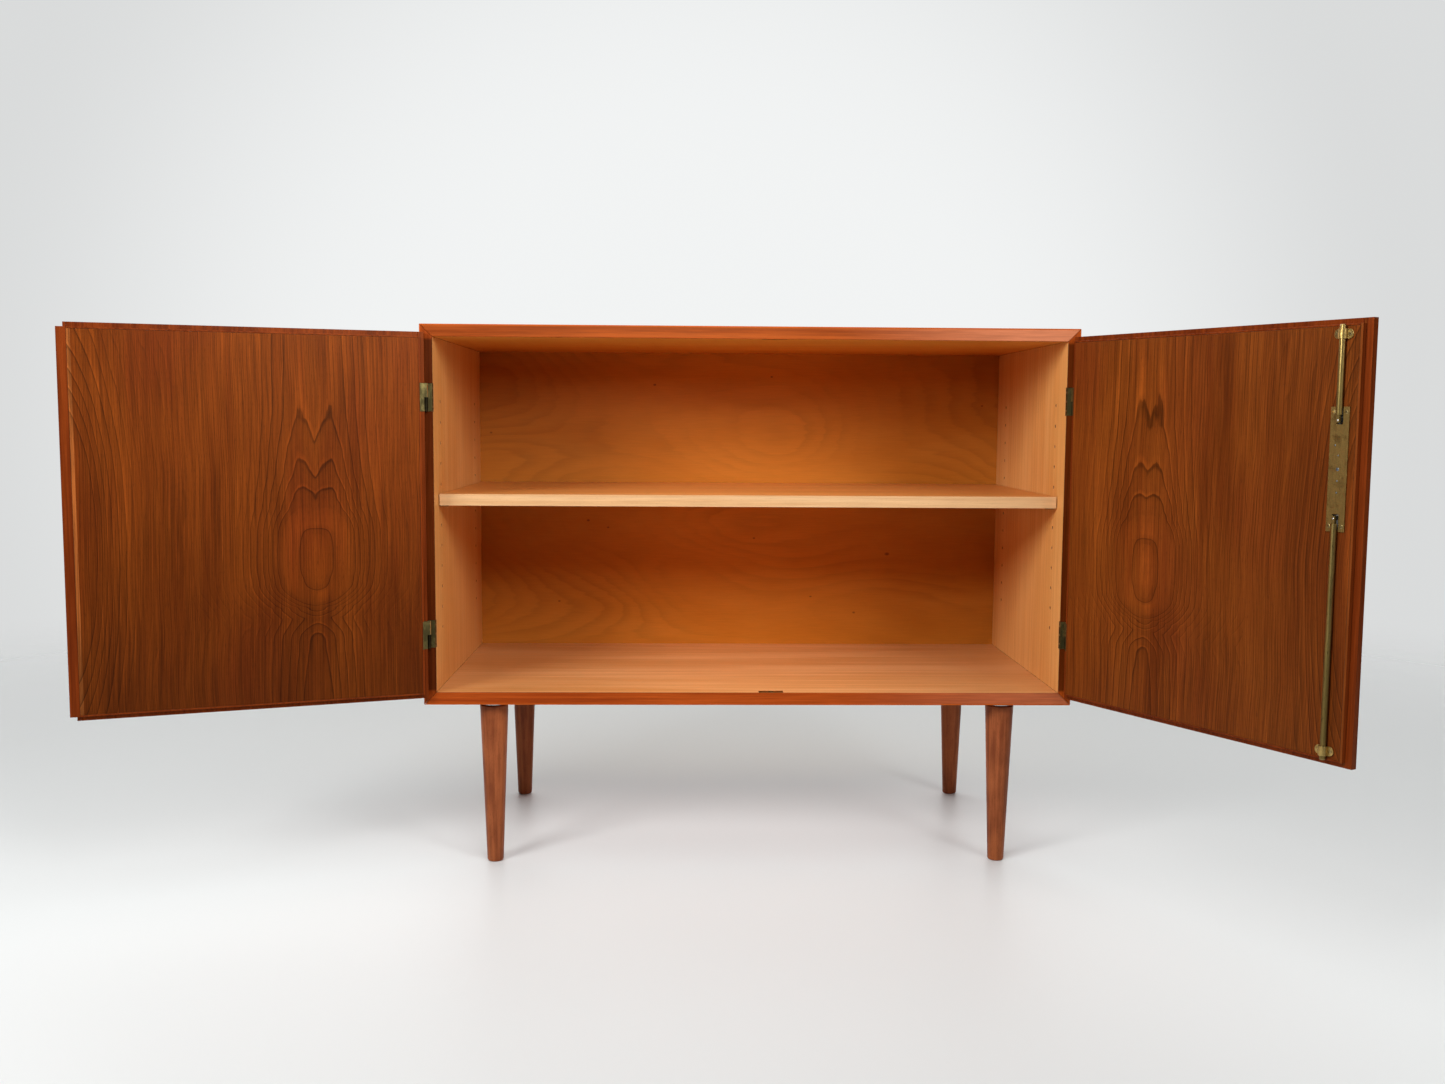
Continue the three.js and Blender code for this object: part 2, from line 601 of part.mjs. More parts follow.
function pinionOutline() {
  const base = PITCH_RADIUS * Math.cos(PRESSURE_ANGLE);
  const tip = PITCH_RADIUS + TOOTH_HEIGHT * GEAR_MODULE;
  const root = PITCH_RADIUS - PINION_ROOT_DEPTH * GEAR_MODULE;
  const pitchTurn = Math.tan(PRESSURE_ANGLE) - PRESSURE_ANGLE;
  const halfTooth = (Math.PI * GEAR_MODULE / 2 - TOOTH_BACKLASH) / (2 * PITCH_RADIUS);
  const lastAngle = Math.sqrt((tip / base) ** 2 - 1);
  const steps = 4;
  const points = [];
  for (let tooth = 0; tooth < GEAR_TEETH; tooth += 1) {
    const middle = (2 * Math.PI * tooth) / GEAR_TEETH;
    const flank = [];
    for (let i = 0; i <= steps; i += 1) {
      const [px, py] = involutePoint(base, (lastAngle * i) / steps);
      flank.push([Math.hypot(px, py), halfTooth + pitchTurn - Math.atan2(py, px)]);
    }
    const rootTurn = flank[0][1] + PINION_ROOT_TURN;
    points.push([root, middle - rootTurn]);
    for (const [radius, turn] of flank) points.push([radius, middle - turn]);
    for (const [radius, turn] of flank.reverse()) points.push([radius, middle + turn]);
    points.push([root, middle + rootTurn]);
  }
  return polygon(points.map(([radius, turn]) => [radius * Math.cos(turn), radius * Math.sin(turn)]));
}

function lockPinion() {
  const gear = plateXZ(pinionOutline(), GEAR_LOW, GEAR_HIGH);
  const bore = rod('y', KEY_SHANK_RADIUS + GAP, GEAR_LOW - 1, GEAR_HIGH + 1, 0, 0, 16);
  const slotHalf = KEY_BIT / 2 + GAP;
  const slot = box(-slotHalf, slotHalf, GEAR_LOW - 1, GEAR_HIGH + 1, -KEY_BIT_REACH - GAP, 0);
  return cut(gear, bore, slot);
}

// A rack beside the pinion. way is +1 for the upper one, whose teeth face -X and which runs up to its
// foot in the cover's notch, and -1 for the lower one, which is the same turned half a turn.
function rackOutline() {
  const pitch = Math.PI * GEAR_MODULE;
  const lean = Math.tan(PRESSURE_ANGLE);
  const addendum = TOOTH_HEIGHT * GEAR_MODULE;
  const dedendum = RACK_ROOT_DEPTH * GEAR_MODULE;
  const halfTooth = pitch / 4 - TOOTH_BACKLASH / 2;
  const tipX = PITCH_RADIUS - addendum;
  const rootX = PITCH_RADIUS + dedendum;
  const points = [[rootX, -RACK_TEETH_BEHIND]];
  const first = Math.ceil((-RACK_TEETH_BEHIND + halfTooth * 2) / pitch - 0.5);
  const last = Math.floor((RACK_TEETH_AHEAD - halfTooth * 2) / pitch - 0.5);
  for (let i = first; i <= last; i += 1) {
    const z = (i + 0.5) * pitch;
    points.push([rootX, z - halfTooth - dedendum * lean]);
    points.push([tipX, z - halfTooth + addendum * lean]);
    points.push([tipX, z + halfTooth - addendum * lean]);
    points.push([rootX, z + halfTooth + dedendum * lean]);
  }
  const footLow = ROD_LOCK_END;
  points.push([rootX, footLow - RACK_FOOT_ROOT], [-ROD_TONGUE_HALF, footLow - RACK_FOOT_ROOT]);
  points.push([-ROD_TONGUE_HALF, footLow + RACK_FOOT_LENGTH]);
  points.push([ROD_TONGUE_HALF, footLow + RACK_FOOT_LENGTH], [ROD_TONGUE_HALF, footLow]);
  points.push([RACK_OUTER, footLow], [RACK_OUTER, -RACK_TEETH_BEHIND]);
  return polygon(points);
}

function lockRack(way) {
  const strip = plateXZ(rackOutline(), GEAR_LOW, GEAR_HIGH);
  const footLow = ROD_LOCK_END;
  const footTop = ROD_Y - ROD_TONGUE_HALF - GAP;
  const foot = box(
    -ROD_TONGUE_HALF, ROD_TONGUE_HALF, GEAR_LOW, footTop, footLow, footLow + RACK_FOOT_LENGTH,
  );
  const pinZ = footLow + RACK_FOOT_LENGTH / 2;
  const pin = rod('y', RACK_PIN_RADIUS, footTop - 1, ROD_Y + ROD_TONGUE_HALF, 0, pinZ, 12);
  const rack = join(strip, foot, pin);
  return way > 0 ? rack : rack.rotateY(Math.PI);
}

// A rod: a round bar with a chamfered tip, and at its lock end a flat tongue over the rack's pin.
function lockRod(way) {
  const tipZ = way > 0 ? STEP_HIGH - LOCK_Z - GAP : LOCK_Z - STEP_LOW - GAP;
  const barLow = ROD_LOCK_END + ROD_TONGUE_LENGTH;
  const bar = new THREE.LatheGeometry([
    new THREE.Vector2(0, barLow),
    new THREE.Vector2(ROD_RADIUS, barLow),
    new THREE.Vector2(ROD_RADIUS, tipZ - ROD_TIP_CHAMFER),
    new THREE.Vector2(ROD_RADIUS - ROD_TIP_CHAMFER, tipZ),
    new THREE.Vector2(0, tipZ),
  ], 20).rotateX(Math.PI / 2).translate(0, ROD_Y, 0);
  const half = ROD_TONGUE_HALF;
  const tongue = box(-half, half, ROD_Y - half, ROD_Y + half, ROD_LOCK_END, barLow + 1);
  const pinZ = ROD_LOCK_END + RACK_FOOT_LENGTH / 2;
  const eye = rod('y', RACK_PIN_RADIUS + GAP, ROD_Y - half - 1, ROD_Y + half + 1, 0, pinZ, 12);
  const whole = cut(join(bar, tongue), eye);
  return way > 0 ? whole : whole.rotateY(Math.PI);
}

// A strap over the rod: two round-ended ears against the door and an arch between them.
function rodGuide(z) {
  const y0 = BACK_FACE + GAP;
  const halfWidth = GUIDE_WIDTH / 2;
  const halfHeight = GUIDE_HEIGHT / 2;
  const lobe = halfWidth - halfHeight;
  const outline = new THREE.Shape();
  outline.moveTo(-lobe, -halfHeight);
  outline.lineTo(lobe, -halfHeight);
  outline.absarc(lobe, 0, halfHeight, -Math.PI / 2, Math.PI / 2);
  outline.lineTo(-lobe, halfHeight);
  outline.absarc(-lobe, 0, halfHeight, Math.PI / 2, (3 * Math.PI) / 2);
  const ears = plateXZ(outline, y0, y0 + GUIDE_THICKNESS, 8);
  const bore = ROD_RADIUS + GAP;
  const archRadius = bore + GUIDE_THICKNESS;
  const arch = rod('z', archRadius, -halfHeight, halfHeight, 0, ROD_Y, 24);
  const legsOfArch = box(-archRadius, archRadius, y0, ROD_Y, -halfHeight, halfHeight);
  const tunnel = rod('z', bore, -halfHeight - 1, halfHeight + 1, 0, ROD_Y, 24);
  const slot = box(-bore, bore, ROD_Y - archRadius - 1, ROD_Y, -halfHeight - 1, halfHeight + 1);
  const strap = cut(join(ears, arch, legsOfArch), tunnel, slot);
  return strap.translate(-LOCK_U, 0, z);
}

function escutcheon() {
  const y1 = FRONT_FACE - GAP;
  const y0 = y1 - ESCUTCHEON_THICKNESS;
  const disc = rod('y', ESCUTCHEON_RADIUS, y0, y1, 0, 0, 32);
  const round = rod('y', KEY_HOLE_RADIUS, y0 - 1, y1 + 1, 0, 0, 16);
  const half = KEY_BIT / 2 + GAP;
  const slot = box(-half, half, y0 - 1, y1 + 1, -KEY_BIT_REACH - GAP, 0);
  return cut(disc, round, slot);
}

// The key: a ring-shaped bow, a collar, a round shank through the door and a bit in the pinion.
function key() {
  const bitEnd = GEAR_HIGH - KEY_END_GAP;
  const shankOut = FRONT_FACE - KEY_LENGTH;
  const shank = rod('y', KEY_SHANK_RADIUS, shankOut, bitEnd, 0, 0, 16);
  const bitY = GEAR_LOW + GAP;
  const bit = box(-KEY_BIT / 2, KEY_BIT / 2, bitY, bitEnd, -KEY_BIT_REACH, 0);
  const collarEnd = FRONT_FACE - ESCUTCHEON_THICKNESS - KEY_COLLAR_GAP;
  const collar = rod('y', KEY_COLLAR_RADIUS, collarEnd - KEY_COLLAR_LENGTH, collarEnd, 0, 0, 16);
  const bow = new THREE.TorusGeometry(KEY_BOW_RADIUS, KEY_BOW_THICKNESS / 2, 8, 24)
    .rotateY(Math.PI / 2)
    .translate(0, shankOut - KEY_BOW_OFFSET, 0);
  return join(shank, bit, collar, bow);
}

function addLock(door, lockTurn, upperBolt, lowerBolt) {
  add(door, 'lock_case', onLock(lockCase()), steel);
  add(door, 'lock_cover_plate', onLock(lockCover()), brass);
  add(door, 'key_escutcheon', onLock(escutcheon()), brass);
  add(door, 'upper_rod_guide', rodGuide(STEP_HIGH - GUIDE_FROM_EDGE), brass);
  add(door, 'lower_rod_guide', rodGuide(STEP_LOW + GUIDE_FROM_EDGE), brass);
  add(lockTurn, 'lock_pinion', onLock(lockPinion()), steel);
  add(lockTurn, 'key', onLock(key()), steel);
  add(upperBolt, 'upper_rack', onLock(lockRack(1)), steel);
  add(upperBolt, 'upper_rod', onLock(lockRod(1)), brassRod);
  add(lowerBolt, 'lower_rack', onLock(lockRack(-1)), steel);
  add(lowerBolt, 'lower_rod', onLock(lockRod(-1)), brassRod);
}

// ---- assembly ----
const cabinet = new THREE.Group();
addCarcass(cabinet);
addStrikes(cabinet);
addShelfPins(cabinet);
addLegs(cabinet);

const shelf = new THREE.Group();
addShelf(shelf);
cabinet.add(shelf);

const leftDoor = new THREE.Group();
leftDoor.position.set(-AXIS_X, AXIS_Y, 0);
leftDoor.rotation.z = -THREE.MathUtils.degToRad(LEFT_OPEN_DEG);
addDoor(leftDoor, 'left', 1);
addHinges(cabinet, leftDoor, 'left', 1);
cabinet.add(leftDoor);

const rightDoor = new THREE.Group();
rightDoor.position.set(AXIS_X, AXIS_Y, 0);
rightDoor.rotation.z = THREE.MathUtils.degToRad(RIGHT_OPEN_DEG);
addDoor(rightDoor, 'right', -1);
addHinges(cabinet, rightDoor, 'right', -1);
const lockTurn = new THREE.Group();
const upperBolt = new THREE.Group();
const lowerBolt = new THREE.Group();
addLock(rightDoor, lockTurn, upperBolt, lowerBolt);
rightDoor.add(lockTurn, upperBolt, lowerBolt);
cabinet.add(rightDoor);

const stand = new THREE.Group();
cabinet.position.z = -HEIGHT;
stand.add(cabinet);

export default stand;
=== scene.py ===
import functools
import json
import math

import bmesh
import bpy
from mathutils import Matrix, Vector


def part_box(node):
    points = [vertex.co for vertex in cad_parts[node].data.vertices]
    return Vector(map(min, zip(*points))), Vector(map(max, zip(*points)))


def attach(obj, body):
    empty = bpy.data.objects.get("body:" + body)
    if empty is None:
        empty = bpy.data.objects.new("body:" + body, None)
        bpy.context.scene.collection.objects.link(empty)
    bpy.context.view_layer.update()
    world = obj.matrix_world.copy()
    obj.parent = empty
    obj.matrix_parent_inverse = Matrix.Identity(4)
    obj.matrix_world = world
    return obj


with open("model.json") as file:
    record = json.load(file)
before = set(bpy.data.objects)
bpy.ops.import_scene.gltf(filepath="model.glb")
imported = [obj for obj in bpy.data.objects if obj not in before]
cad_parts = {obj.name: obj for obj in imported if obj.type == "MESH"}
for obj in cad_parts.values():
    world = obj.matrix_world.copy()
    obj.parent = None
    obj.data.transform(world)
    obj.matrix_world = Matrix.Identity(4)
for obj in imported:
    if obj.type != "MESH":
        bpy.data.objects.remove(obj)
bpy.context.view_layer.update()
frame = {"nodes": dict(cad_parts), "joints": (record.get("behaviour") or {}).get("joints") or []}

nodes = frame["nodes"]
joints = {joint["name"]: joint for joint in frame["joints"]}


# ---- places that the materials and fittings are worked out from ----

def door_place(word, closing):
    """The hinge axis of a door, its turn from shut to rest, and the way it runs from the axis when shut."""
    joint = joints[word + "_door_hinge"]
    turn = -math.radians(joint["range_deg"][closing])
    across = 1.0 if word == "left" else -1.0
    return {"axis": Vector(joint["pos_m"]), "turn": turn, "across": across}


left_door = door_place("left", 1)
right_door = door_place("right", 0)
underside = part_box("bottom_front_lipping")[0].z
floor_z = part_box("front_left_leg")[0].z
inside_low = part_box("bottom_panel")[1].z
inside_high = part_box("top_panel")[0].z
inside_half = -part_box("left_side_panel")[1].x
carcass_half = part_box("top_front_lipping")[1].x
door_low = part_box("left_door_panel")[0].z
door_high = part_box("left_door_panel")[1].z
back_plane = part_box("back_panel")[0].y


def door_point(door, u, depth, height):
    """A point of a door at rest.

    u runs along the door from its hinge axis, depth towards the cabinet, and height up from the carcass's
    underside.
    """
    shut = Vector((door["across"] * u, depth, 0.0))
    turned = Matrix.Rotation(door["turn"], 3, "Z") @ shut
    return Vector((door["axis"].x + turned.x, door["axis"].y + turned.y, underside + height))


def door_way(door, way):
    """A direction of a shut door, turned to where the door is at rest."""
    return Matrix.Rotation(door["turn"], 3, "Z") @ Vector(way)


# ---- node trees ----

class Shader:
    """A material and short calls for the nodes that its tree is made of."""

    def __init__(self, name):
        self.material = bpy.data.materials.new(name)
        self.material.use_nodes = True
        self.tree = self.material.node_tree
        self.surface = self.tree.nodes["Principled BSDF"]

    def node(self, kind, **settings):
        made = self.tree.nodes.new("ShaderNode" + kind)
        for key, value in settings.items():
            setattr(made, key, value)
        return made

    def feed(self, made, socket, value):
        if isinstance(value, bpy.types.NodeSocket):
            self.tree.links.new(value, made.inputs[socket])
        else:
            made.inputs[socket].default_value = value

    def point(self):
        return self.node("TexCoord").outputs["Object"]

    def placed(self, vector, location=(0, 0, 0), turn=0.0):
        """The vector as seen from a frame that stands at location and is turned about Z."""
        mapping = self.node("Mapping", vector_type="TEXTURE")
        self.feed(mapping, "Vector", vector)
        mapping.inputs["Location"].default_value = location
        mapping.inputs["Rotation"].default_value = (0, 0, turn)
        return mapping.outputs[0]

    def stretched(self, vector, scale):
        """The vector times scale, axis by axis."""
        made = self.node("VectorMath", operation="MULTIPLY")
        self.feed(made, 0, vector)
        made.inputs[1].default_value = scale
        return made.outputs[0]

    def distance(self, vector, place):
        """How far the vector is from a fixed place."""
        made = self.node("VectorMath", operation="DISTANCE")
        self.feed(made, 0, vector)
        made.inputs[1].default_value = place
        return made.outputs["Value"]

    def parts(self, vector):
        made = self.node("SeparateXYZ")
        self.feed(made, 0, vector)
        return made.outputs

    def joined(self, x, y, z):
        made = self.node("CombineXYZ")
        for socket, value in enumerate((x, y, z)):
            self.feed(made, socket, value)
        return made.outputs[0]

    def math(self, operation, a, b=0.0):
        made = self.node("Math", operation=operation)
        self.feed(made, 0, a)
        self.feed(made, 1, b)
        return made.outputs[0]

    def add(self, a, b):
        return self.math("ADD", a, b)

    def times(self, a, b):
        return self.math("MULTIPLY", a, b)

    def swing(self, noise, size):
        """A noise of 0 to 1, made to swing about zero by half of size each way."""
        return self.times(self.add(noise, -0.5), size)

    def mixed(self, a, share, b):
        """A share of a, and the rest of b."""
        return self.add(self.times(a, share), self.times(b, 1.0 - share))

    def noise(self, vector, scale=1.0, detail=2.0, roughness=0.5, distortion=0.0):
        made = self.node("TexNoise")
        self.feed(made, "Vector", vector)
        made.inputs["Scale"].default_value = scale
        made.inputs["Detail"].default_value = detail
        made.inputs["Roughness"].default_value = roughness
        made.inputs["Distortion"].default_value = distortion
        return made.outputs["Fac"]

    def grain(self, vector, per_metre, detail=2.0, roughness=0.5, distortion=0.0):
        """Noise that changes about per_metre times in a metre along each axis, or not at all for a 0."""
        return self.noise(self.stretched(vector, per_metre), 1.0, detail, roughness, distortion)

    def ramp(self, value, stops, interpolation="LINEAR"):
        """A grey ramp; each stop is a position and a grey."""
        made = self.node("ValToRGB")
        made.color_ramp.interpolation = interpolation
        elements = made.color_ramp.elements
        while len(elements) < len(stops):
            elements.new(0.5)
        for element, (position, grey) in zip(elements, stops):
            element.position = position
            element.color = (grey, grey, grey, 1.0)
        self.feed(made, "Fac", value)
        return made.outputs["Color"]

    def range(self, value, low, high, to_low=0.0, to_high=1.0, smooth=False):
        made = self.node("MapRange", interpolation_type="SMOOTHSTEP" if smooth else "LINEAR")
        self.feed(made, "Value", value)
        for socket, number in zip(("From Min", "From Max", "To Min", "To Max"), (low, high, to_low, to_high)):
            made.inputs[socket].default_value = number
        return made.outputs["Result"]

    def blend(self, factor, a, b):
        """Colour a where the factor is 0, and colour b where it is 1."""
        made = self.node("Mix", data_type="RGBA", blend_type="MIX", clamp_result=False)
        self.feed(made, 0, factor)
        for socket, value in ((6, a), (7, b)):
            self.feed(made, socket, (*value, 1.0) if isinstance(value, tuple) else value)
        return made.outputs[2]

    def shaded(self, colour, *factors):
        """The colour times grey factors."""
        made = self.node("VectorMath", operation="SCALE")
        self.feed(made, 0, colour)
        self.feed(made, "Scale", functools.reduce(self.times, factors))
        return made.outputs[0]

    def finish(self, colour, roughness, height=None, bump=0.0001, strength=0.5, **constants):
        """Joins colour, roughness and bump to the surface, and sets the constants on its own sockets."""
        self.feed(self.surface, "Base Color", colour)
        self.feed(self.surface, "Roughness", roughness)
        for name, value in constants.items():
            self.surface.inputs[name.replace("_", " ")].default_value = value
        if height is not None:
            made = self.node("Bump")
            made.inputs["Distance"].default_value = bump
            made.inputs["Strength"].default_value = strength
            self.feed(made, "Height", height)
            self.feed(self.surface, "Normal", made.outputs[0])
        return self.material

    def finish_wood(self, colour, roughness, height, bump, strength, sheen):
        """As finish, with the warm gloss of oil or varnish."""
        return self.finish(
            colour, roughness, height, bump, strength, Specular_IOR_Level=sheen, Specular_Tint=WARM_SHEEN,
        )


# ---- woods ----
# A board's own coordinates are (across the grain, along the grain, through the board).
OILED = 0.12
VARNISHED = 0.24
WARM_SHEEN = (1.0, 0.72, 0.45, 1.0)
# Teak's colours: a pale line beside the left door's veneer and how strong it is, the rim of the carcass's
# front, a pale teak that paints a sheen, and the light and dark streaks of the doors' lippings.
EDGE_LINE = (0.30, 0.085, 0.018)
EDGE_LINE_STRENGTH = 0.8
RIM_TEAK = (0.40, 0.072, 0.0080)
PAINTED_SHEEN_TEAK = (0.56, 0.200, 0.100)
REDDISH = {"light": (0.200, 0.033, 0.0040), "dark": (0.110, 0.015, 0.0018)}
PALE = {"light": (0.235, 0.058, 0.0110), "dark": (0.180, 0.040, 0.0060)}
DARK_RED = {"light": (0.170, 0.030, 0.0045), "dark": (0.105, 0.017, 0.0022)}


def board_vector(shader, place):
    """Object coordinates put into a board's own. place names the grain's axis, or a door."""
    point = shader.point()
    if isinstance(place, dict):
        point = shader.placed(point, (*place["axis"].xy, underside), place["turn"])
        x, y, z = shader.parts(point)
        return shader.joined(shader.times(x, place["across"]), z, y)
    x, y, z = shader.parts(point)
    order = {"x": (y, x, z), "z": (x, z, y), "side": (y, z, x), "front": (z, x, y)}[place]
    return shader.joined(*order)


# How far the sawn face lies from the tree's heart, along a door's height: (height, depth) in metres.
# It is 0 at the eye, rises to a crest below it, and dips again at the foot, where a second figure starts.
HEART_DEPTH = [
    (0.0, 0.0555), (0.045, 0.0566), (0.09, 0.0588), (0.122, 0.0615), (0.143, 0.0700),
    (0.148, 0.0676), (0.155, 0.0615), (0.164, 0.0532), (0.187, 0.0226), (0.210, 0.0090), (0.232, 0.0),
    (0.252, 0.0080), (0.276, 0.0203), (0.300, 0.0400), (0.316, 0.0472), (0.332, 0.0503), (0.351, 0.0555),
    (0.376, 0.0588), (0.403, 0.0616), (0.438, 0.0650), (0.56, 0.0672),
]
DEPTH_SPAN = 0.08
HEIGHT_SPAN = 0.60
# How far from the hinge axis the middle of the figure is, on a door's inner face and on its outer face.
EYE_U = 0.163
OUTER_FIGURE_U = 0.26
# The radii of the growth rings in metres; beyond the last, they are RING_PITCH apart.
RING_RADII = [0.0, 0.0240, 0.0550, 0.0620, 0.0680, 0.0750, 0.0830, 0.0920, 0.1020]
RING_PITCH = 0.0100
# The dark line of a ring takes up this much of its radius, however far away the ring inside it is.
RING_LINE = 0.0070
RING_LINE_PHASE = 0.85
# How boxy the rings are above the eye and below it: 2 would make them elliptic.
UPPER_POWER = 2.4
LOWER_POWER = 1.7
# Where the lower shape ends, where the upper one and the notch begin, and where the notch is at its deepest,
# as parts of HEIGHT_SPAN.
LOWER_END = 0.34
UPPER_START = 0.42
NOTCH_FULL = 0.52
# Half the width of the notch that makes an M of each ring's peak above the eye.
NOTCH_HALF = 0.024
# A second figure lies half off the door's free edge.
EDGE_FIGURE_U = 0.503
EDGE_FIGURE_HEIGHT = 0.255
EDGE_FIGURE_SLOPE = 0.235
EDGE_FIGURE_OFFSET = 0.006
# Within the first radius the wood is paler. The rings wander and turn faint between the next two pairs.
PALE_HEART = 0.055
WANDER_RADII = (0.075, 0.16)
FAINT_RADII = (0.078, 0.120)
# How far a ring jitters and wanders at most, and how far the figure and its streaks drift sideways.
RING_JITTER = 0.0018
RING_WANDER = 0.050
FIGURE_DRIFT = 0.010
STREAK_DRIFT = 0.022
# How dark the late wood is, and how pale the early wood, through one ring.
LATE_WOOD = [(0.0, 0.0), (0.60, 0.05), (0.84, 0.25), (0.935, 1.0), (0.985, 0.75), (1.0, 0.0)]
EARLY_WOOD = [(0.0, 0.3), (0.04, 1.0), (0.10, 0.7), (0.20, 0.0)]
# What the redder patches are tinted by, and the height and width that a veneered board's painted light and
# shade run over.
REDDER = (0.96, 0.80, 1.2)
PAINTED_LIGHT_HEIGHT = 0.58
PAINTED_LIGHT_WIDTH = 0.49


def heart_radius(shader, across, along, eye_u, eye_shift, notch_depth):
    """The distance of each point of the veneer from the heart of the tree that it was cut from."""
    off = shader.math("ABSOLUTE", shader.add(across, -eye_u))
    height = shader.math("DIVIDE", shader.add(along, eye_shift), HEIGHT_SPAN)
    stops = [(h / HEIGHT_SPAN, d / DEPTH_SPAN) for h, d in HEART_DEPTH]
    depth = shader.times(shader.ramp(height, stops, "CARDINAL"), DEPTH_SPAN)
    power = shader.range(height, LOWER_END, UPPER_START, LOWER_POWER, UPPER_POWER)
    summed = shader.add(shader.math("POWER", off, power), shader.math("POWER", depth, power))
    radius = shader.math("POWER", summed, shader.math("DIVIDE", 1.0, power))
    opening = shader.range(height, UPPER_START, NOTCH_FULL, 0.0, notch_depth)
    notch = shader.times(shader.range(off, 0.0, NOTCH_HALF, 1.0, 0.0), opening)
    radius = shader.add(radius, notch)
    beside = shader.add(across, -EDGE_FIGURE_U)
    swell = shader.times(shader.add(along, -EDGE_FIGURE_HEIGHT), EDGE_FIGURE_SLOPE)
    second = shader.math("SQRT", shader.add(shader.times(beside, beside), shader.times(swell, swell)))
    return shader.math("MINIMUM", radius, shader.add(second, EDGE_FIGURE_OFFSET))


def ring_phase(shader, radius):
    """0 just outside each growth ring, rising to 1 at the next."""
    last = len(RING_RADII) - 1
    reach = RING_RADII[-1]
    stops = [(0.0, 0.0)]
    for count, (inner, size) in enumerate(zip(RING_RADII, RING_RADII[1:]), start=1):
        if size - inner > RING_LINE:
            stops.append(((size - RING_LINE) / reach, (count - RING_LINE_PHASE) / last))
        stops.append((size / reach, count / last))
    counted = shader.times(shader.ramp(shader.times(radius, 1.0 / reach), stops), last)
    outer = shader.times(shader.math("MAXIMUM", shader.add(radius, -reach), 0.0), 1.0 / RING_PITCH)
    return shader.math("FRACT", shader.add(counted, outer))


def growth_rings(shader, radius, seeded):
    """The dark late wood of each ring and the pale early wood just outside it, 0 to 1 each, in patches."""
    jitter = shader.grain(seeded, (70.0, 17.0, 0.0))
    wander = shader.grain(seeded, (24.0, 2.2, 0.0))
    wandering = shader.range(radius, *WANDER_RADII, 0.0, RING_WANDER, smooth=True)
    shifted = shader.add(radius, shader.swing(jitter, RING_JITTER))
    phase = ring_phase(shader, shader.add(shifted, shader.swing(wander, wandering)))
    near = shader.range(radius, *FAINT_RADII, 1.0, 0.30, smooth=True)
    patches = shader.grain(seeded, (38.0, 4.0, 0.0))
    late_here = shader.times(near, shader.range(patches, 0.34, 0.56, 0.62, 1.0))
    early_here = shader.times(near, shader.range(patches, 0.40, 0.60, 1.0, 0.15))
    late = shader.times(shader.ramp(phase, LATE_WOOD), late_here)
    early = shader.times(shader.ramp(phase, EARLY_WOOD), early_here)
    return late, early


def teak_streaks(shader, bent, seeded, light, dark):
    """Fine and broad streaks between two colours, with redder patches."""
    streak = shader.grain(bent, (95.0, 2.4, 0.0), 4.0, 0.72)
    broad = shader.grain(bent, (12.0, 2.0, 0.0), 3.0, 0.6)
    tone = shader.range(shader.mixed(streak, 0.34, broad), 0.32, 0.66, smooth=True)
    patches = shader.grain(seeded, (6.0, 2.6, 0.0))
    redder = tuple((a + b) / 2 * tint for a, b, tint in zip(light, dark, REDDER))
    colour = shader.blend(tone, dark, light)
    return shader.blend(shader.range(patches, 0.48, 0.64, 0.0, 0.55), colour, redder)


def edge_line(shader, across, band, colour):
    """The colour, with a paler strip along the board where the way across it is within band."""
    beyond = shader.math("GREATER_THAN", across, band[0])
    short = shader.math("LESS_THAN", across, band[1])
    inside = shader.times(beyond, short)
    return shader.blend(shader.times(inside, EDGE_LINE_STRENGTH), colour, EDGE_LINE)


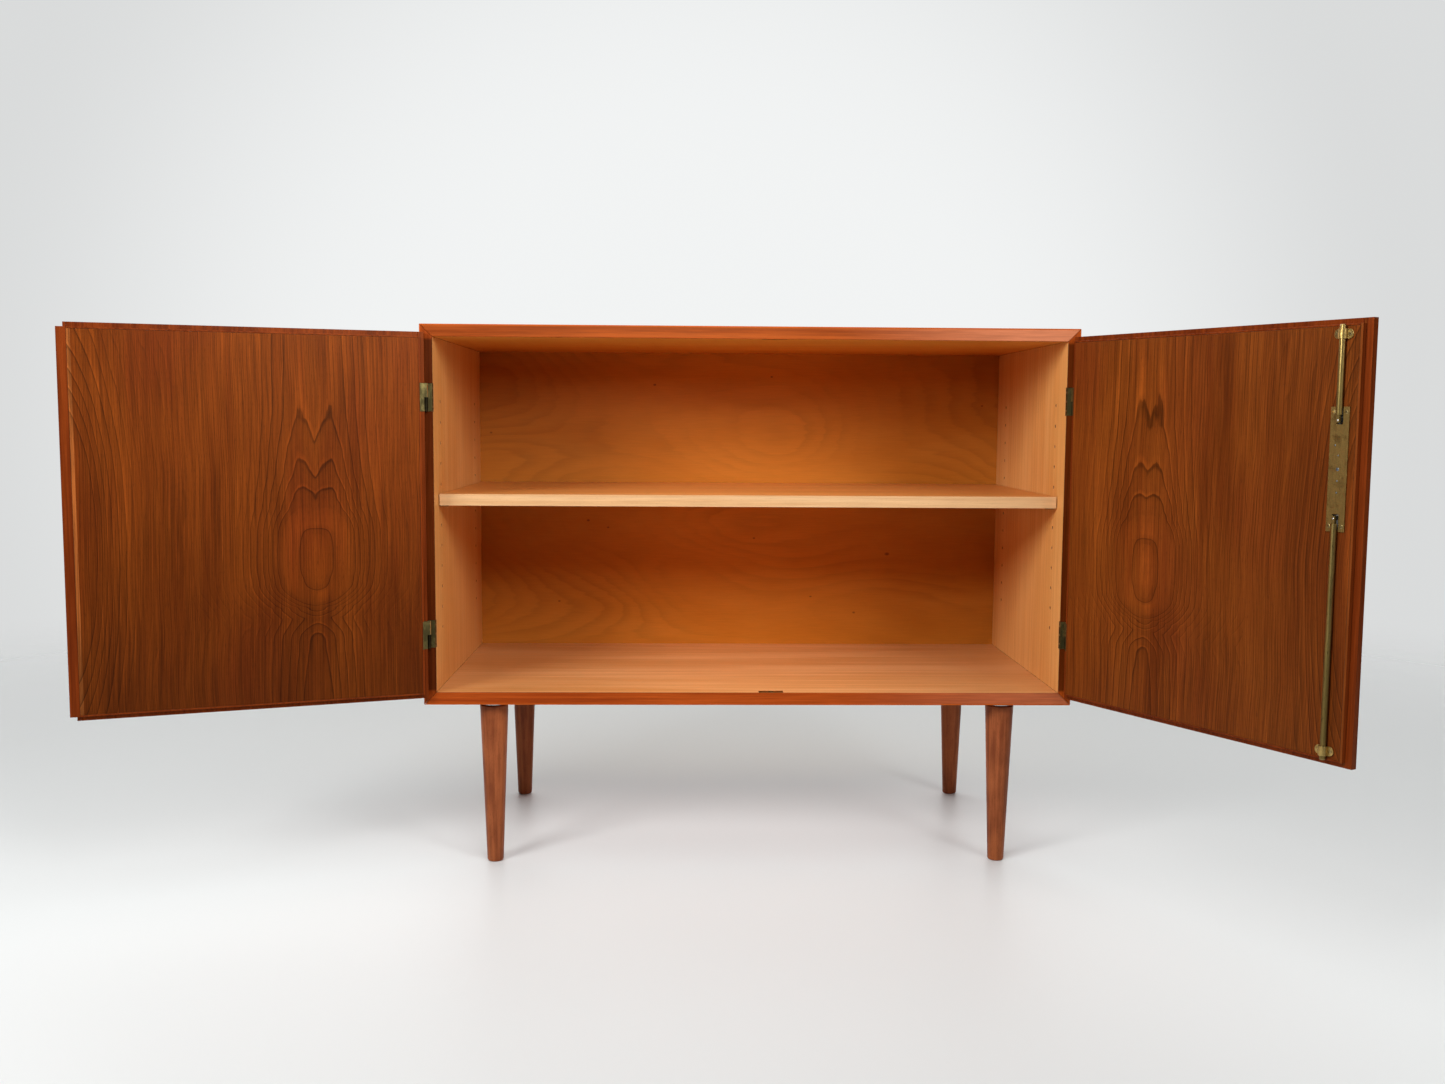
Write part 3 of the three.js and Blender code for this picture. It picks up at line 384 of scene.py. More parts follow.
def teak(name, place, eye_u, eye_shift=0.0, light=(0.190, 0.0375, 0.0030), dark=(0.105, 0.0160, 0.0012),
         seed=0.0, notch=0.0, band=None, painted_light_low=1.0, painted_light_high=1.0, painted_light_hinge=1.0, painted_light_free=1.0):
    """Plain-sawn teak veneer: growth rings cut at a slant, dark streaks and fine open pores.

    notch is how far each ring's peak dips, as a radius; band is the range across the board of a lighter
    strip; the four tones are painted light and shade, which lighten or darken the board from low to high
    and from its hinge side to its free side.
    """
    shader = Shader(name)
    across, along, through = shader.parts(board_vector(shader, place))
    seeded = shader.joined(shader.add(across, seed), along, through)
    drift = shader.grain(seeded, (1.3, 3.0, 0.0))
    moved = shader.add(across, shader.swing(drift, FIGURE_DRIFT))
    radius = heart_radius(shader, moved, along, eye_u, eye_shift, notch)
    late, early = growth_rings(shader, radius, seeded)

    bent_across = shader.add(shader.add(moved, seed), shader.times(drift, STREAK_DRIFT))
    bent = shader.joined(bent_across, along, through)
    colour = teak_streaks(shader, bent, seeded, light, dark)
    if band is not None:
        colour = edge_line(shader, across, band, colour)

    fibre = shader.grain(seeded, (620.0, 14.0, 0.0), 3.0, 0.6)
    lines = shader.grain(bent, (760.0, 5.0, 0.0), 2.0, 0.7)
    dashes = shader.grain(seeded, (1500.0, 95.0, 0.0), 1.0)
    pores = shader.range(dashes, 0.60, 0.72)
    colour = shader.shaded(
        colour,
        shader.range(fibre, 0.3, 0.7, 0.84, 1.16),
        shader.range(lines, 0.36, 0.58, 0.62, 1.12),
        shader.range(late, 0.0, 1.0, 1.04, 0.40),
        shader.range(early, 0.0, 1.0, 1.0, 1.42),
        shader.range(pores, 0.0, 1.0, 1.0, 0.70),
        shader.range(radius, 0.0, PALE_HEART, 1.16, 1.0),
        # Painted light and shade: the board lightens or darkens from low to high and from its hinge side to
        # its free side.
        shader.range(along, 0.0, PAINTED_LIGHT_HEIGHT, painted_light_low, painted_light_high),
        shader.range(across, 0.0, PAINTED_LIGHT_WIDTH, painted_light_hinge, painted_light_free),
    )
    roughness = shader.range(fibre, 0.3, 0.7, 0.40, 0.52)
    relief = shader.add(shader.times(fibre, 0.5), shader.times(pores, -1.0))
    return shader.finish_wood(colour, roughness, relief, 0.00012, 0.35, OILED)


# How wide the thin line around the carcass's front is, where the veneer's edge shows.
RIM = 0.002
# The painted shadow of the doors begins and ends softly, over this much to each side of their edges.
PAINTED_SHADOW_EDGE = 0.002
# The right-hand end of the front's top and bottom is painted paler as a painted sheen, more and more from the
# first x to the second.
PAINTED_SHEEN_REACH = (0.10, 0.47)


def carcass_rim(shader):
    """1 in the thin line around the carcass's front where the veneer's edge shows, 0 elsewhere."""
    x, _, z = shader.parts(shader.point())
    beside = shader.math("GREATER_THAN", shader.math("ABSOLUTE", x), carcass_half - RIM)
    above = shader.math("GREATER_THAN", z, -RIM)
    below = shader.math("LESS_THAN", z, underside + RIM)
    return shader.math("MAXIMUM", beside, shader.math("MAXIMUM", above, below))


def painted_door_shadow(shader):
    """A painted shadow of the doors: 1 over the height that the doors cover, 0 at the carcass's corners above
    and below them.
    """
    _, _, z = shader.parts(shader.point())
    up = shader.range(z, door_low - PAINTED_SHADOW_EDGE, door_low + PAINTED_SHADOW_EDGE)
    return shader.times(up, shader.range(z, door_high - PAINTED_SHADOW_EDGE, door_high + PAINTED_SHADOW_EDGE, 1.0, 0.0))


def solid_teak(name, place, light=(0.36, 0.058, 0.0055), dark=(0.20, 0.026, 0.0020), seed=0.0, rim=False,
               painted_shadow_shade=1.0, painted_sheen_share=0.0):
    """Straight-grained solid teak, as the lippings are.

    The given shade darkens the height that the doors cover, a painted shadow of the doors; the given share is
    how far a painted sheen pales the grain at the right-hand end.
    """
    shader = Shader(name)
    across, along, through = shader.parts(board_vector(shader, place))
    board = shader.joined(shader.add(across, seed), along, shader.add(through, seed))
    streak = shader.grain(board, (210.0, 2.6, 210.0), 3.0, 0.6)
    slow = shader.grain(board, (20.0, 3.0, 20.0))
    tone = shader.range(shader.mixed(streak, 0.6, slow), 0.36, 0.64, smooth=True)
    colour = shader.blend(tone, dark, light)
    # Painted sheen: the colour pales towards the right-hand end.
    if painted_sheen_share:
        painted_sheen = shader.range(along, *PAINTED_SHEEN_REACH, 0.0, painted_sheen_share, smooth=True)
        colour = shader.blend(painted_sheen, colour, PAINTED_SHEEN_TEAK)
    if rim:
        colour = shader.blend(carcass_rim(shader), colour, RIM_TEAK)
    fibre = shader.grain(board, (900.0, 22.0, 900.0))
    shades = [shader.range(fibre, 0.3, 0.7, 0.84, 1.16)]
    # Painted shadow: darker over the height that the doors cover.
    if painted_shadow_shade != 1.0:
        shades.append(shader.range(painted_door_shadow(shader), 0.0, 1.0, 1.0, painted_shadow_shade))
    colour = shader.shaded(colour, *shades)
    roughness = shader.range(fibre, 0.3, 0.7, 0.34, 0.48)
    return shader.finish_wood(colour, roughness, fibre, 0.00008, 0.3, OILED)


# How far from the middle of the cabinet's width the painted light on an inside board begins to change, and
# stops changing.
PAINTED_LIGHT_REACH = (0.05, 0.42)


def painted_light_middle_to_ends(shader, x, middle, ends):
    """Painted light and shade: a shade that is middle at the middle of the cabinet's width, and ends near
    both of its sides.
    """
    return shader.range(shader.math("ABSOLUTE", x), *PAINTED_LIGHT_REACH, middle, ends, smooth=True)


def beech(name, place, light, dark, seed=0.0, middle=1.0, ends=1.0):
    """Varnished beech: a fine even grain with short ray flecks. middle and ends are painted light and shade
    along the board.
    """
    shader = Shader(name)
    across, along, through = shader.parts(board_vector(shader, place))
    board = shader.joined(shader.add(across, seed), along, through)
    streak = shader.grain(board, (150.0, 2.2, 0.0), 4.0, 0.65)
    slow = shader.grain(board, (9.0, 1.1, 0.0))
    tone = shader.range(shader.mixed(streak, 0.65, slow), 0.38, 0.62, smooth=True)
    colour = shader.blend(tone, dark, light)
    flecks = shader.grain(board, (1100.0, 260.0, 0.0), 1.0)
    fleck = shader.range(flecks, 0.62, 0.74)
    fibre = shader.grain(board, (700.0, 20.0, 0.0))
    shades = [shader.range(fibre, 0.3, 0.7, 0.93, 1.07), shader.range(fleck, 0.0, 1.0, 1.0, 0.84)]
    # Painted light: brighter at the middle of the cabinet's width, darker near its sides.
    if middle != ends:
        shades.append(painted_light_middle_to_ends(shader, along, middle, ends))
    colour = shader.shaded(colour, *shades)
    roughness = shader.range(fibre, 0.3, 0.7, 0.36, 0.46)
    return shader.finish_wood(colour, roughness, fibre, 0.00005, 0.25, VARNISHED)


# Small knots of the plywood back: across from its middle and up from the cabinet's floor, and radius.
KNOTS = [
    (-0.1585, 0.484, 0.0030), (-0.461, 0.394, 0.0026), (-0.282, 0.232, 0.0030), (-0.245, 0.219, 0.0024),
    (-0.3365, 0.080, 0.0026), (0.058, 0.500, 0.0026), (0.451, 0.449, 0.0024), (0.278, 0.171, 0.0045),
    (0.0275, 0.200, 0.0024), (0.217, 0.060, 0.0028), (0.135, 0.090, 0.0024),
]
# A knot is this much wider than it is tall. Its dark middle and its rim are at these parts of its radius.
KNOT_WIDENING = 1.5
KNOT_MIDDLE = 0.4
KNOT_RIM = 1.3
# How many contour lines a full swing of the plywood's slow noise makes.
CONTOURS = 34.0


def birch_ply(name, dark, light, sheen):
    """Rotary-cut birch plywood: wandering contour figure, low contrast, with a few pin knots."""
    shader = Shader(name)
    point = shader.placed(shader.point(), (0.0, back_plane, inside_low))
    x, _, z = shader.parts(point)
    flat = shader.joined(x, z, 0.0)
    land = shader.grain(flat, (1.5, 3.4, 0.0), 1.5, 0.30, 0.3)
    fine = shader.grain(flat, (9.0, 90.0, 0.0))
    contour = shader.add(shader.times(land, CONTOURS), shader.times(fine, 0.7))
    phase = shader.math("FRACT", contour)
    line = shader.ramp(phase, [(0.0, 0.0), (0.35, 0.05), (0.86, 1.0), (1.0, 0.0)])
    patches = shader.grain(flat, (3.0, 7.0, 0.0))
    line = shader.times(line, shader.range(patches, 0.40, 0.62, 0.15, 1.0, smooth=True))
    tone = shader.grain(flat, (2.4, 9.0, 0.0), 3.0, 0.5, 0.3)
    colour = shader.blend(shader.range(tone, 0.30, 0.70, smooth=True), dark, light)
    silk = shader.grain(flat, (24.0, 420.0, 0.0), 3.0, 0.6)
    shades = [
        shader.range(line, 0.0, 1.0, 1.03, 0.88),
        shader.range(silk, 0.3, 0.7, 0.95, 1.05),
        # Painted light: brighter at the middle of the cabinet's width, darker near its sides.
        painted_light_middle_to_ends(shader, x, 1.12, 0.86),
    ]
    taller = shader.stretched(flat, (1.0, KNOT_WIDENING, 0.0))
    for across, up, size in KNOTS:
        away = shader.distance(taller, (across, up * KNOT_WIDENING, 0.0))
        shades.append(shader.range(away, size * KNOT_MIDDLE, size * KNOT_RIM, 0.42, 1.0, smooth=True))
    return shader.finish_wood(shader.shaded(colour, *shades), 0.46, silk, 0.00004, 0.2, sheen)


def board_core(name):
    """The sawn edge of the carcass boards, seen at the back and in the pin holes: laminated strips."""
    shader = Shader(name)
    strips = shader.grain(shader.point(), (260.0, 260.0, 260.0), 3.0)
    colour = shader.blend(shader.range(strips, 0.35, 0.65), (0.16, 0.062, 0.022), (0.27, 0.125, 0.050))
    return shader.finish(colour, 0.75, strips, bump=0.0002, strength=0.4)


def stained_leg(name, place):
    """A turned beech leg under a red-brown stain: straight grain, blotches and small dark flecks."""
    shader = Shader(name)
    point = shader.placed(shader.point(), place)
    streak = shader.grain(point, (170.0, 170.0, 5.0), 3.0, 0.6)
    blotch = shader.grain(point, (26.0, 26.0, 11.0), 3.0, 0.6)
    tone = shader.range(shader.mixed(streak, 0.5, blotch), 0.36, 0.64, smooth=True)
    colour = shader.blend(tone, (0.180, 0.042, 0.0125), (0.360, 0.100, 0.0310))
    flecks = shader.grain(point, (900.0, 900.0, 220.0), 1.0)
    colour = shader.shaded(colour, shader.range(flecks, 0.58, 0.74, 1.03, 0.80))
    roughness = shader.range(streak, 0.3, 0.7, 0.36, 0.50)
    return shader.finish(colour, roughness, streak, bump=0.00008, strength=0.3, Specular_IOR_Level=OILED)


# ---- metals ----
BRASS_SPOTS = (0.060, 0.040, 0.016)


def brass(name, bright, dull, wear=0.5, run=1.0, satin=0.26):
    """Old brass: bright where it is rubbed, olive-brown elsewhere, with dark specks and fine scratches.

    More of it is bright as wear grows; run stretches the patches along the height, as they are on a drawn
    rod; satin is the roughness where rubbed.
    """
    shader = Shader(name)
    point = shader.stretched(shader.point(), (1.0, 1.0, 1.0 / run))
    cloud = shader.noise(point, 55.0, 4.0, 0.62)
    cover = shader.range(cloud, wear - 0.12, wear + 0.14, smooth=True)
    colour = shader.blend(cover, bright, dull)
    specks = shader.range(shader.noise(point, 1500.0, 2.0), 0.62, 0.72)
    colour = shader.blend(specks, colour, BRASS_SPOTS)
    scratch = shader.grain(point, (900.0, 900.0, 60.0))
    colour = shader.shaded(colour, shader.range(scratch, 0.3, 0.7, 0.90, 1.10))
    roughness = shader.add(shader.range(cover, 0.0, 1.0, satin, satin + 0.20), shader.times(scratch, 0.08))
    return shader.finish(colour, roughness, scratch, bump=0.00004, strength=0.3, Metallic=1.0)


def steel(name, colour=(0.42, 0.41, 0.40), roughness=0.34):
    """Plain steel, cloudy and a little dull."""
    shader = Shader(name)
    cloud = shader.noise(shader.point(), 120.0, 4.0, 0.6)
    tint = shader.shaded(colour, shader.range(cloud, 0.3, 0.7, 0.80, 1.12))
    rough = shader.range(cloud, 0.3, 0.7, roughness - 0.06, roughness + 0.10)
    return shader.finish(tint, rough, cloud, bump=0.00002, strength=0.2, Metallic=1.0)


woods = {
    # The last numbers of the doors' inner faces are painted light and shade, by height and from the hinge
    # side to the free side.
    "left door inside": teak(
        "left_door_teak", left_door, EYE_U, light=(0.180, 0.0365, 0.0032), dark=(0.090, 0.0140, 0.0012),
        notch=0.0060, band=(0.479, 0.4845), painted_light_low=0.70, painted_light_high=1.20, painted_light_hinge=1.07, painted_light_free=0.92,
    ),
    "left door outside": teak("left_door_outer_teak", left_door, OUTER_FIGURE_U, 0.345, seed=3.1),
    "right door inside": teak(
        "right_door_teak", right_door, EYE_U - 0.004, 0.004,
        light=(0.188, 0.0435, 0.0050), dark=(0.098, 0.0180, 0.0020), seed=0.35, notch=0.0030,
        painted_light_hinge=1.16, painted_light_free=0.98,
    ),
    "right door outside": teak("right_door_outer_teak", right_door, OUTER_FIGURE_U, 0.330, seed=5.7),
    "top": teak("top_teak", "x", 0.02, 0.92, seed=7.3),
    "side": teak("side_teak", "side", 0.03, 0.93, seed=9.2),
    "underside": solid_teak("underside_veneer", "x", seed=4.0),
    # The top and bottom lippings' last number is a painted sheen that pales their right-hand end.
    "top lipping": solid_teak(
        "top_lipping_teak", "front", (0.33, 0.062, 0.0080), (0.20, 0.032, 0.0034), 1.0, rim=True, painted_sheen_share=0.75,
    ),
    "bottom lipping": solid_teak(
        "bottom_lipping_teak", "front", (0.38, 0.062, 0.0070), (0.24, 0.032, 0.0030), 5.0, rim=True,
        painted_sheen_share=0.35,
    ),
    # The upright lippings' last number is a painted shadow of the doors, over the height that they cover.
    "upright lipping": solid_teak(
        "upright_lipping_teak", "z", (0.34, 0.056, 0.0056), (0.20, 0.028, 0.0025), 2.0, rim=True, painted_shadow_shade=0.34,
    ),
    "left door lipping": solid_teak("left_door_lipping_teak", left_door, seed=3.0, **REDDISH),
    "right door lipping": solid_teak("right_door_lipping_teak", right_door, seed=4.0, **REDDISH),
    "right door pale lipping": solid_teak("right_door_pale_lipping_teak", right_door, seed=6.0, **PALE),
    "right door edge": solid_teak("right_door_edge_teak", right_door, seed=7.0, **DARK_RED),
    "side beech": beech("side_beech", "side", (0.84, 0.440, 0.150), (0.72, 0.320, 0.085)),
    "ceiling beech": beech("ceiling_beech", "x", (0.68, 0.275, 0.044), (0.58, 0.210, 0.027), 2.0),
    # The floor's and the shelf's last two numbers are painted light, brighter at the middle of the cabinet's
    # width.
    "floor beech": beech("floor_beech", "x", (0.78, 0.390, 0.156), (0.61, 0.251, 0.070), 3.0, 1.20, 0.92),
    "shelf": beech("shelf_beech", "x", (0.70, 0.295, 0.080), (0.59, 0.225, 0.048), 4.0, 1.32, 0.98),
    "shelf lipping": beech("shelf_lipping_beech", "front", (0.68, 0.42, 0.215), (0.58, 0.325, 0.150), 6.0),
    "back": birch_ply("birch_plywood", (0.50, 0.156, 0.0130), (0.58, 0.200, 0.0230), VARNISHED),
    "rear": birch_ply("bare_birch_plywood", (0.46, 0.255, 0.105), (0.55, 0.325, 0.150), OILED),
    "core": board_core("board_core"),
}
leg_stain = stained_leg("leg_stain", (0.4, 0.2, 0.0))
leaf_brass = brass("hinge_brass", (0.21, 0.165, 0.060), (0.090, 0.072, 0.028), wear=0.42, satin=0.40)
# The door leaves' knuckles are rubbed brass, made brighter still as a painted highlight.
rubbed_knuckle_highlight_brass = brass("knuckle_brass_rubbed_and_highlight", (0.72, 0.60, 0.28), (0.46, 0.37, 0.16), wear=0.52, satin=0.32)
# Painted shadow: the frame leaves' knuckles are near-black brass, for the shade where they sit deeper than
# the door leaves' knuckles.
knuckle_shadow_brass = brass("knuckle_painted_shadow_brass", (0.050, 0.040, 0.018), (0.018, 0.015, 0.008), wear=0.42, satin=0.42)
lock_brass = brass("lock_brass", (0.46, 0.305, 0.095), (0.250, 0.158, 0.048), wear=0.44)
rod_brass = brass("rod_brass", (0.42, 0.295, 0.098), (0.21, 0.146, 0.046), wear=0.50, run=9.0)
guide_brass = brass("guide_brass", (0.58, 0.40, 0.13), (0.30, 0.20, 0.062), wear=0.52)
screw_brass = brass("screw_brass", (0.46, 0.34, 0.14), (0.22, 0.155, 0.058), wear=0.56)
plain_steel = steel("plain_steel")
dark_steel = steel("dark_steel", (0.17, 0.19, 0.20), 0.46)
bright_steel = steel("bright_steel", (0.72, 0.71, 0.69), 0.20)


# ---- dressing the CAD nodes ----
WELD_DISTANCE = 0.00002
FLAT_ANGLE = math.radians(1.0)
SHARP_ANGLE = math.radians(32.0)
# A face looks a way if the cosine between them is over FACING, and partly looks it if over PART_FACING.
FACING = 0.9
PART_FACING = 0.6
# A face nearer to a plane than this lies in it.
IN_PLANE = 0.0005
# The right door's pale line ends this far from the hinge axis.
PALE_LINE_END = 0.4796
# A face of a hinge leaf nearer to the hinge's axis than this belongs to the knuckle.
KNUCKLE_REACH = 0.0029


def dress(node, materials, choose=None, bevel=0.0004, segments=2):
    """Gives a node its materials by face, joins its facets, and rounds its edges."""
    mesh = node.data
    mesh.materials.clear()
    for material in materials:
        mesh.materials.append(material)
    custom = mesh.attributes.get("custom_normal")
    if custom is not None:
        mesh.attributes.remove(custom)
    for face in mesh.polygons:
        face.use_smooth = True
        face.material_index = choose(face.normal, face.center) if choose else 0
    weld = node.modifiers.new("weld", "WELD")
    weld.merge_threshold = WELD_DISTANCE
    flat = node.modifiers.new("flat faces", "DECIMATE")
    flat.decimate_type = "DISSOLVE"
    flat.angle_limit = FLAT_ANGLE
    flat.delimit = {"MATERIAL"}
    rounded = node.modifiers.new("rounded edges", "BEVEL")
    rounded.width = bevel
    rounded.segments = segments
    rounded.limit_method = "ANGLE"
    rounded.angle_limit = SHARP_ANGLE
    rounded.use_clamp_overlap = True
    rounded.harden_normals = True
    rounded.miter_outer = "MITER_ARC"


def level_board(outer_up, outside, inside, inside_z):
    """Chooses faces of the top or bottom: 0 outside, 1 inside, 2 sawn edges."""
    def choose(normal, centre):
        facing = normal.z * outer_up
        if facing > FACING:
            return 0
        if facing < -FACING and abs(centre.z - inside_z) < IN_PLANE:
            return 1
        return 2
    return [outside, inside, woods["core"]], choose


def side_board(side):
    """Chooses faces of a side: 0 outside, 1 inside, 2 sawn edges and holes."""
    def choose(normal, centre):
        facing = normal.x * side
        if facing > FACING:
            return 0
        if facing < -FACING and abs(abs(centre.x) - inside_half) < IN_PLANE:
            return 1
        return 2
    return [woods["side"], woods["side beech"], woods["core"]], choose


def back_board():
    """Chooses faces of the plywood back: 0 the one inside the cabinet, 1 the rest."""
    return [woods["back"], woods["rear"]], lambda normal, centre: int(normal.y > -FACING)


def door_board(word, door):
    """Chooses faces of a door panel: 0 the inner face, 1 the outer face, 2 edges."""
    inward = door_way(door, (0, 1, 0))

    def choose(normal, centre):
        facing = normal.dot(inward)
        return 0 if facing > FACING else 1 if facing < -FACING else 2
    return [woods[word + " door inside"], woods[word + " door outside"], woods["core"]], choose


def free_lipping(door):
    """Chooses faces of the right door's free lipping: 1 the pale line by the veneer, 2 the edge, 0 others."""
    inward = door_way(door, (0, 1, 0))
    outward = door_way(door, (door["across"], 0, 0))

    def choose(normal, centre):
        if normal.dot(outward) > PART_FACING:
            return 2
        along = (centre - door["axis"]).xy.length
        return 1 if normal.dot(inward) > FACING and along < PALE_LINE_END else 0
    return [woods["right door lipping"], woods["right door pale lipping"], woods["right door edge"]], choose


def hinge_leaf(door, knuckle):
    """Chooses faces of a hinge leaf: 1 its half of the knuckle, 0 the rest."""
    def choose(normal, centre):
        return int((centre - door["axis"]).xy.length < KNUCKLE_REACH)
    return [leaf_brass, knuckle], choose


def dress_carcass():
    dress(nodes["top_panel"], *level_board(1, woods["top"], woods["ceiling beech"], inside_high))
    dress(nodes["bottom_panel"], *level_board(-1, woods["underside"], woods["floor beech"], inside_low))
    dress(nodes["left_side_panel"], *side_board(-1))
    dress(nodes["right_side_panel"], *side_board(1))
    dress(nodes["back_panel"], *back_board())
    for word in ("top", "bottom"):
        dress(nodes[word + "_front_lipping"], [woods[word + " lipping"]], bevel=0.0007, segments=3)
    for word in ("left", "right"):
        dress(nodes[word + "_front_lipping"], [woods["upright lipping"]], bevel=0.0007, segments=3)
    dress(nodes["shelf_board"], [woods["shelf"]])
    dress(nodes["shelf_front_lipping"], [woods["shelf lipping"]], bevel=0.0007, segments=3)


def dress_doors():
    for word, door in (("left", left_door), ("right", right_door)):
        dress(nodes[word + "_door_panel"], *door_board(word, door), bevel=0.0002)
        for edge in ("hinge", "top", "bottom"):
            dress(nodes[f"{word}_door_{edge}_lipping"], [woods[word + " door lipping"]])
        for level in ("lower", "upper"):
            hinge = f"{word}_{level}_hinge"
            # The door leaf's knuckle gets the bright brass, rubbed and partly a painted highlight.
            dress(nodes[hinge + "_door_leaf"], *hinge_leaf(door, rubbed_knuckle_highlight_brass), bevel=0.0002)
            # The frame leaf's knuckle gets the near-black brass, a painted shadow.
            dress(nodes[hinge + "_frame_leaf"], *hinge_leaf(door, knuckle_shadow_brass), bevel=0.0002)
    dress(nodes["left_door_free_lipping"], [woods["left door lipping"]])
    dress(nodes["right_door_free_lipping"], *free_lipping(right_door), bevel=0.0002)


def dress_fittings():
    for name, node in nodes.items():
        if name.endswith("_leg"):
            dress(node, [leg_stain], bevel=0.0005)
        elif name.endswith(("_leg_plate", "_leg_bolt")):
            dress(node, [bright_steel], bevel=0.0006)
        elif name.endswith("_guide"):
            dress(node, [guide_brass], bevel=0.0002)
        elif name.startswith("shelf_pin"):
            dress(node, [leaf_brass], bevel=0.0003)
    for name in ("lock_cover_plate", "key_escutcheon", "upper_strike_plate", "lower_strike_plate"):
        dress(nodes[name], [lock_brass], bevel=0.00025)
    for name in ("upper_rod", "lower_rod"):
        dress(nodes[name], [rod_brass], bevel=0.0003)
    for name in ("lock_case", "lock_pinion", "upper_rack", "lower_rack", "key"):
        dress(nodes[name], [plain_steel], bevel=0.00015)


dress_carcass()
dress_doors()
dress_fittings()


# ---- small fittings ----
# A head's outline: its radius and its height, as parts of its own.
HEAD_OUTLINE = [(1.0, 0.0), (1.0, 0.35), (0.86, 0.72), (0.55, 0.94)]
HEAD_STEPS = 24
# A face of a head looks up if its normal's height is over this.
LOOKS_UP = 0.2


def cut_groove(made, width, depth):
    """Sinks a driver's groove along Y across the domed top of a head."""
    for edge in (-width / 2, width / 2):
        geometry = made.verts[:] + made.edges[:] + made.faces[:]
        bmesh.ops.bisect_plane(made, geom=geometry, plane_co=(edge, 0, 0), plane_no=(1, 0, 0))
    made.normal_update()
    middle = [
        face for face in made.faces
        if face.normal.z > LOOKS_UP and abs(face.calc_center_median().x) < width / 2
    ]
    raised = bmesh.ops.extrude_face_region(made, geom=middle)["geom"]
    bmesh.ops.delete(made, geom=middle, context="FACES")
    for vertex in raised:
        if isinstance(vertex, bmesh.types.BMVert):
            vertex.co.z -= depth


def head_mesh(name, material, radius, rise, groove_width=0.0, groove_depth=0.0):
    """A domed head, its seat at z = 0, with a driver's groove if it has a groove width."""
    made = bmesh.new()
    rows = []
    for reach, lift in HEAD_OUTLINE:
        row = []
        for i in range(HEAD_STEPS):
            angle = 2 * math.pi * i / HEAD_STEPS
            spot = (radius * reach * math.cos(angle), radius * reach * math.sin(angle), rise * lift)
            row.append(made.verts.new(spot))
        rows.append(row)
    for low, high in zip(rows, rows[1:]):
        for i in range(HEAD_STEPS):
            j = (i + 1) % HEAD_STEPS
            made.faces.new((low[i], low[j], high[j], high[i]))
    made.faces.new(rows[-1])
    made.faces.new(list(reversed(rows[0])))
    if groove_width:
        cut_groove(made, groove_width, groove_depth)
    bmesh.ops.recalc_face_normals(made, faces=made.faces[:])
    mesh = bpy.data.meshes.new(name)
    made.to_mesh(mesh)
    made.free()
    mesh.materials.append(material)
    return mesh


# Each kind of head is its mesh and the record's slot that it belongs to.
lock_screw = (head_mesh("lock_screw_head", screw_brass, 0.0026, 0.0007, 0.0007, 0.0006), "brass")
hinge_screw = (head_mesh("hinge_screw_head", screw_brass, 0.0019, 0.0004, 0.0005, 0.0004), "brass")
rivet = (head_mesh("rivet_head", dark_steel, 0.0011, 0.0005), "steel")
spindle_end = (head_mesh("spindle_end", dark_steel, 0.0021, 0.0004), "steel")
rod_pin = (head_mesh("rod_pin_head", bright_steel, 0.0013, 0.0006), "steel")

# How deep the door's inner face and the lock cover's face are from the hinge axis.
BOARD_FACE = 0.012
COVER_FACE = BOARD_FACE + 0.0018
# The rods of the lock: how far they stand off the door, their radius, half the width of the flat at their
# lock end, and how far their pin is from that end.
ROD_CLEARANCE = 0.0003
ROD_RADIUS = 0.00375
ROD_FLAT_HALF = 0.002
PIN_FROM_ROD_END = 0.003
# Rivets through the lock's cover: across from the lock's middle, away from the hinge, and above its axis.
RIVETS = [(-0.0045, 0.0295), (0.0, 0.0170), (0.0, -0.0142), (0.0, -0.0287)]
# Where the screws are: across from their plate's middle, from its ends, or apart.
COVER_SCREW_ACROSS = 0.0085
COVER_SCREW_FROM_END = 0.0065
GUIDE_SCREW_ACROSS = 0.0088
STRIKE_SCREW_ACROSS = 0.0125
STRIKE_SCREW_SINK = 0.0003
HINGE_SCREW_PITCH = 0.014
HINGE_SCREW_FROM_REAR = 0.0042


def put_head(name, kind, body, centre, normal, turn=0.0):
    """Stands a head on a surface at centre, facing along normal, with its groove turned by turn."""
    mesh, slot = kind
    head = bpy.data.objects.new(name, mesh)
    bpy.context.scene.collection.objects.link(head)
    facing = Vector(normal).to_track_quat("Z", "Y").to_matrix().to_4x4()
    head.matrix_world = Matrix.Translation(centre) @ facing @ Matrix.Rotation(turn, 4, "Z")
    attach(head, body)


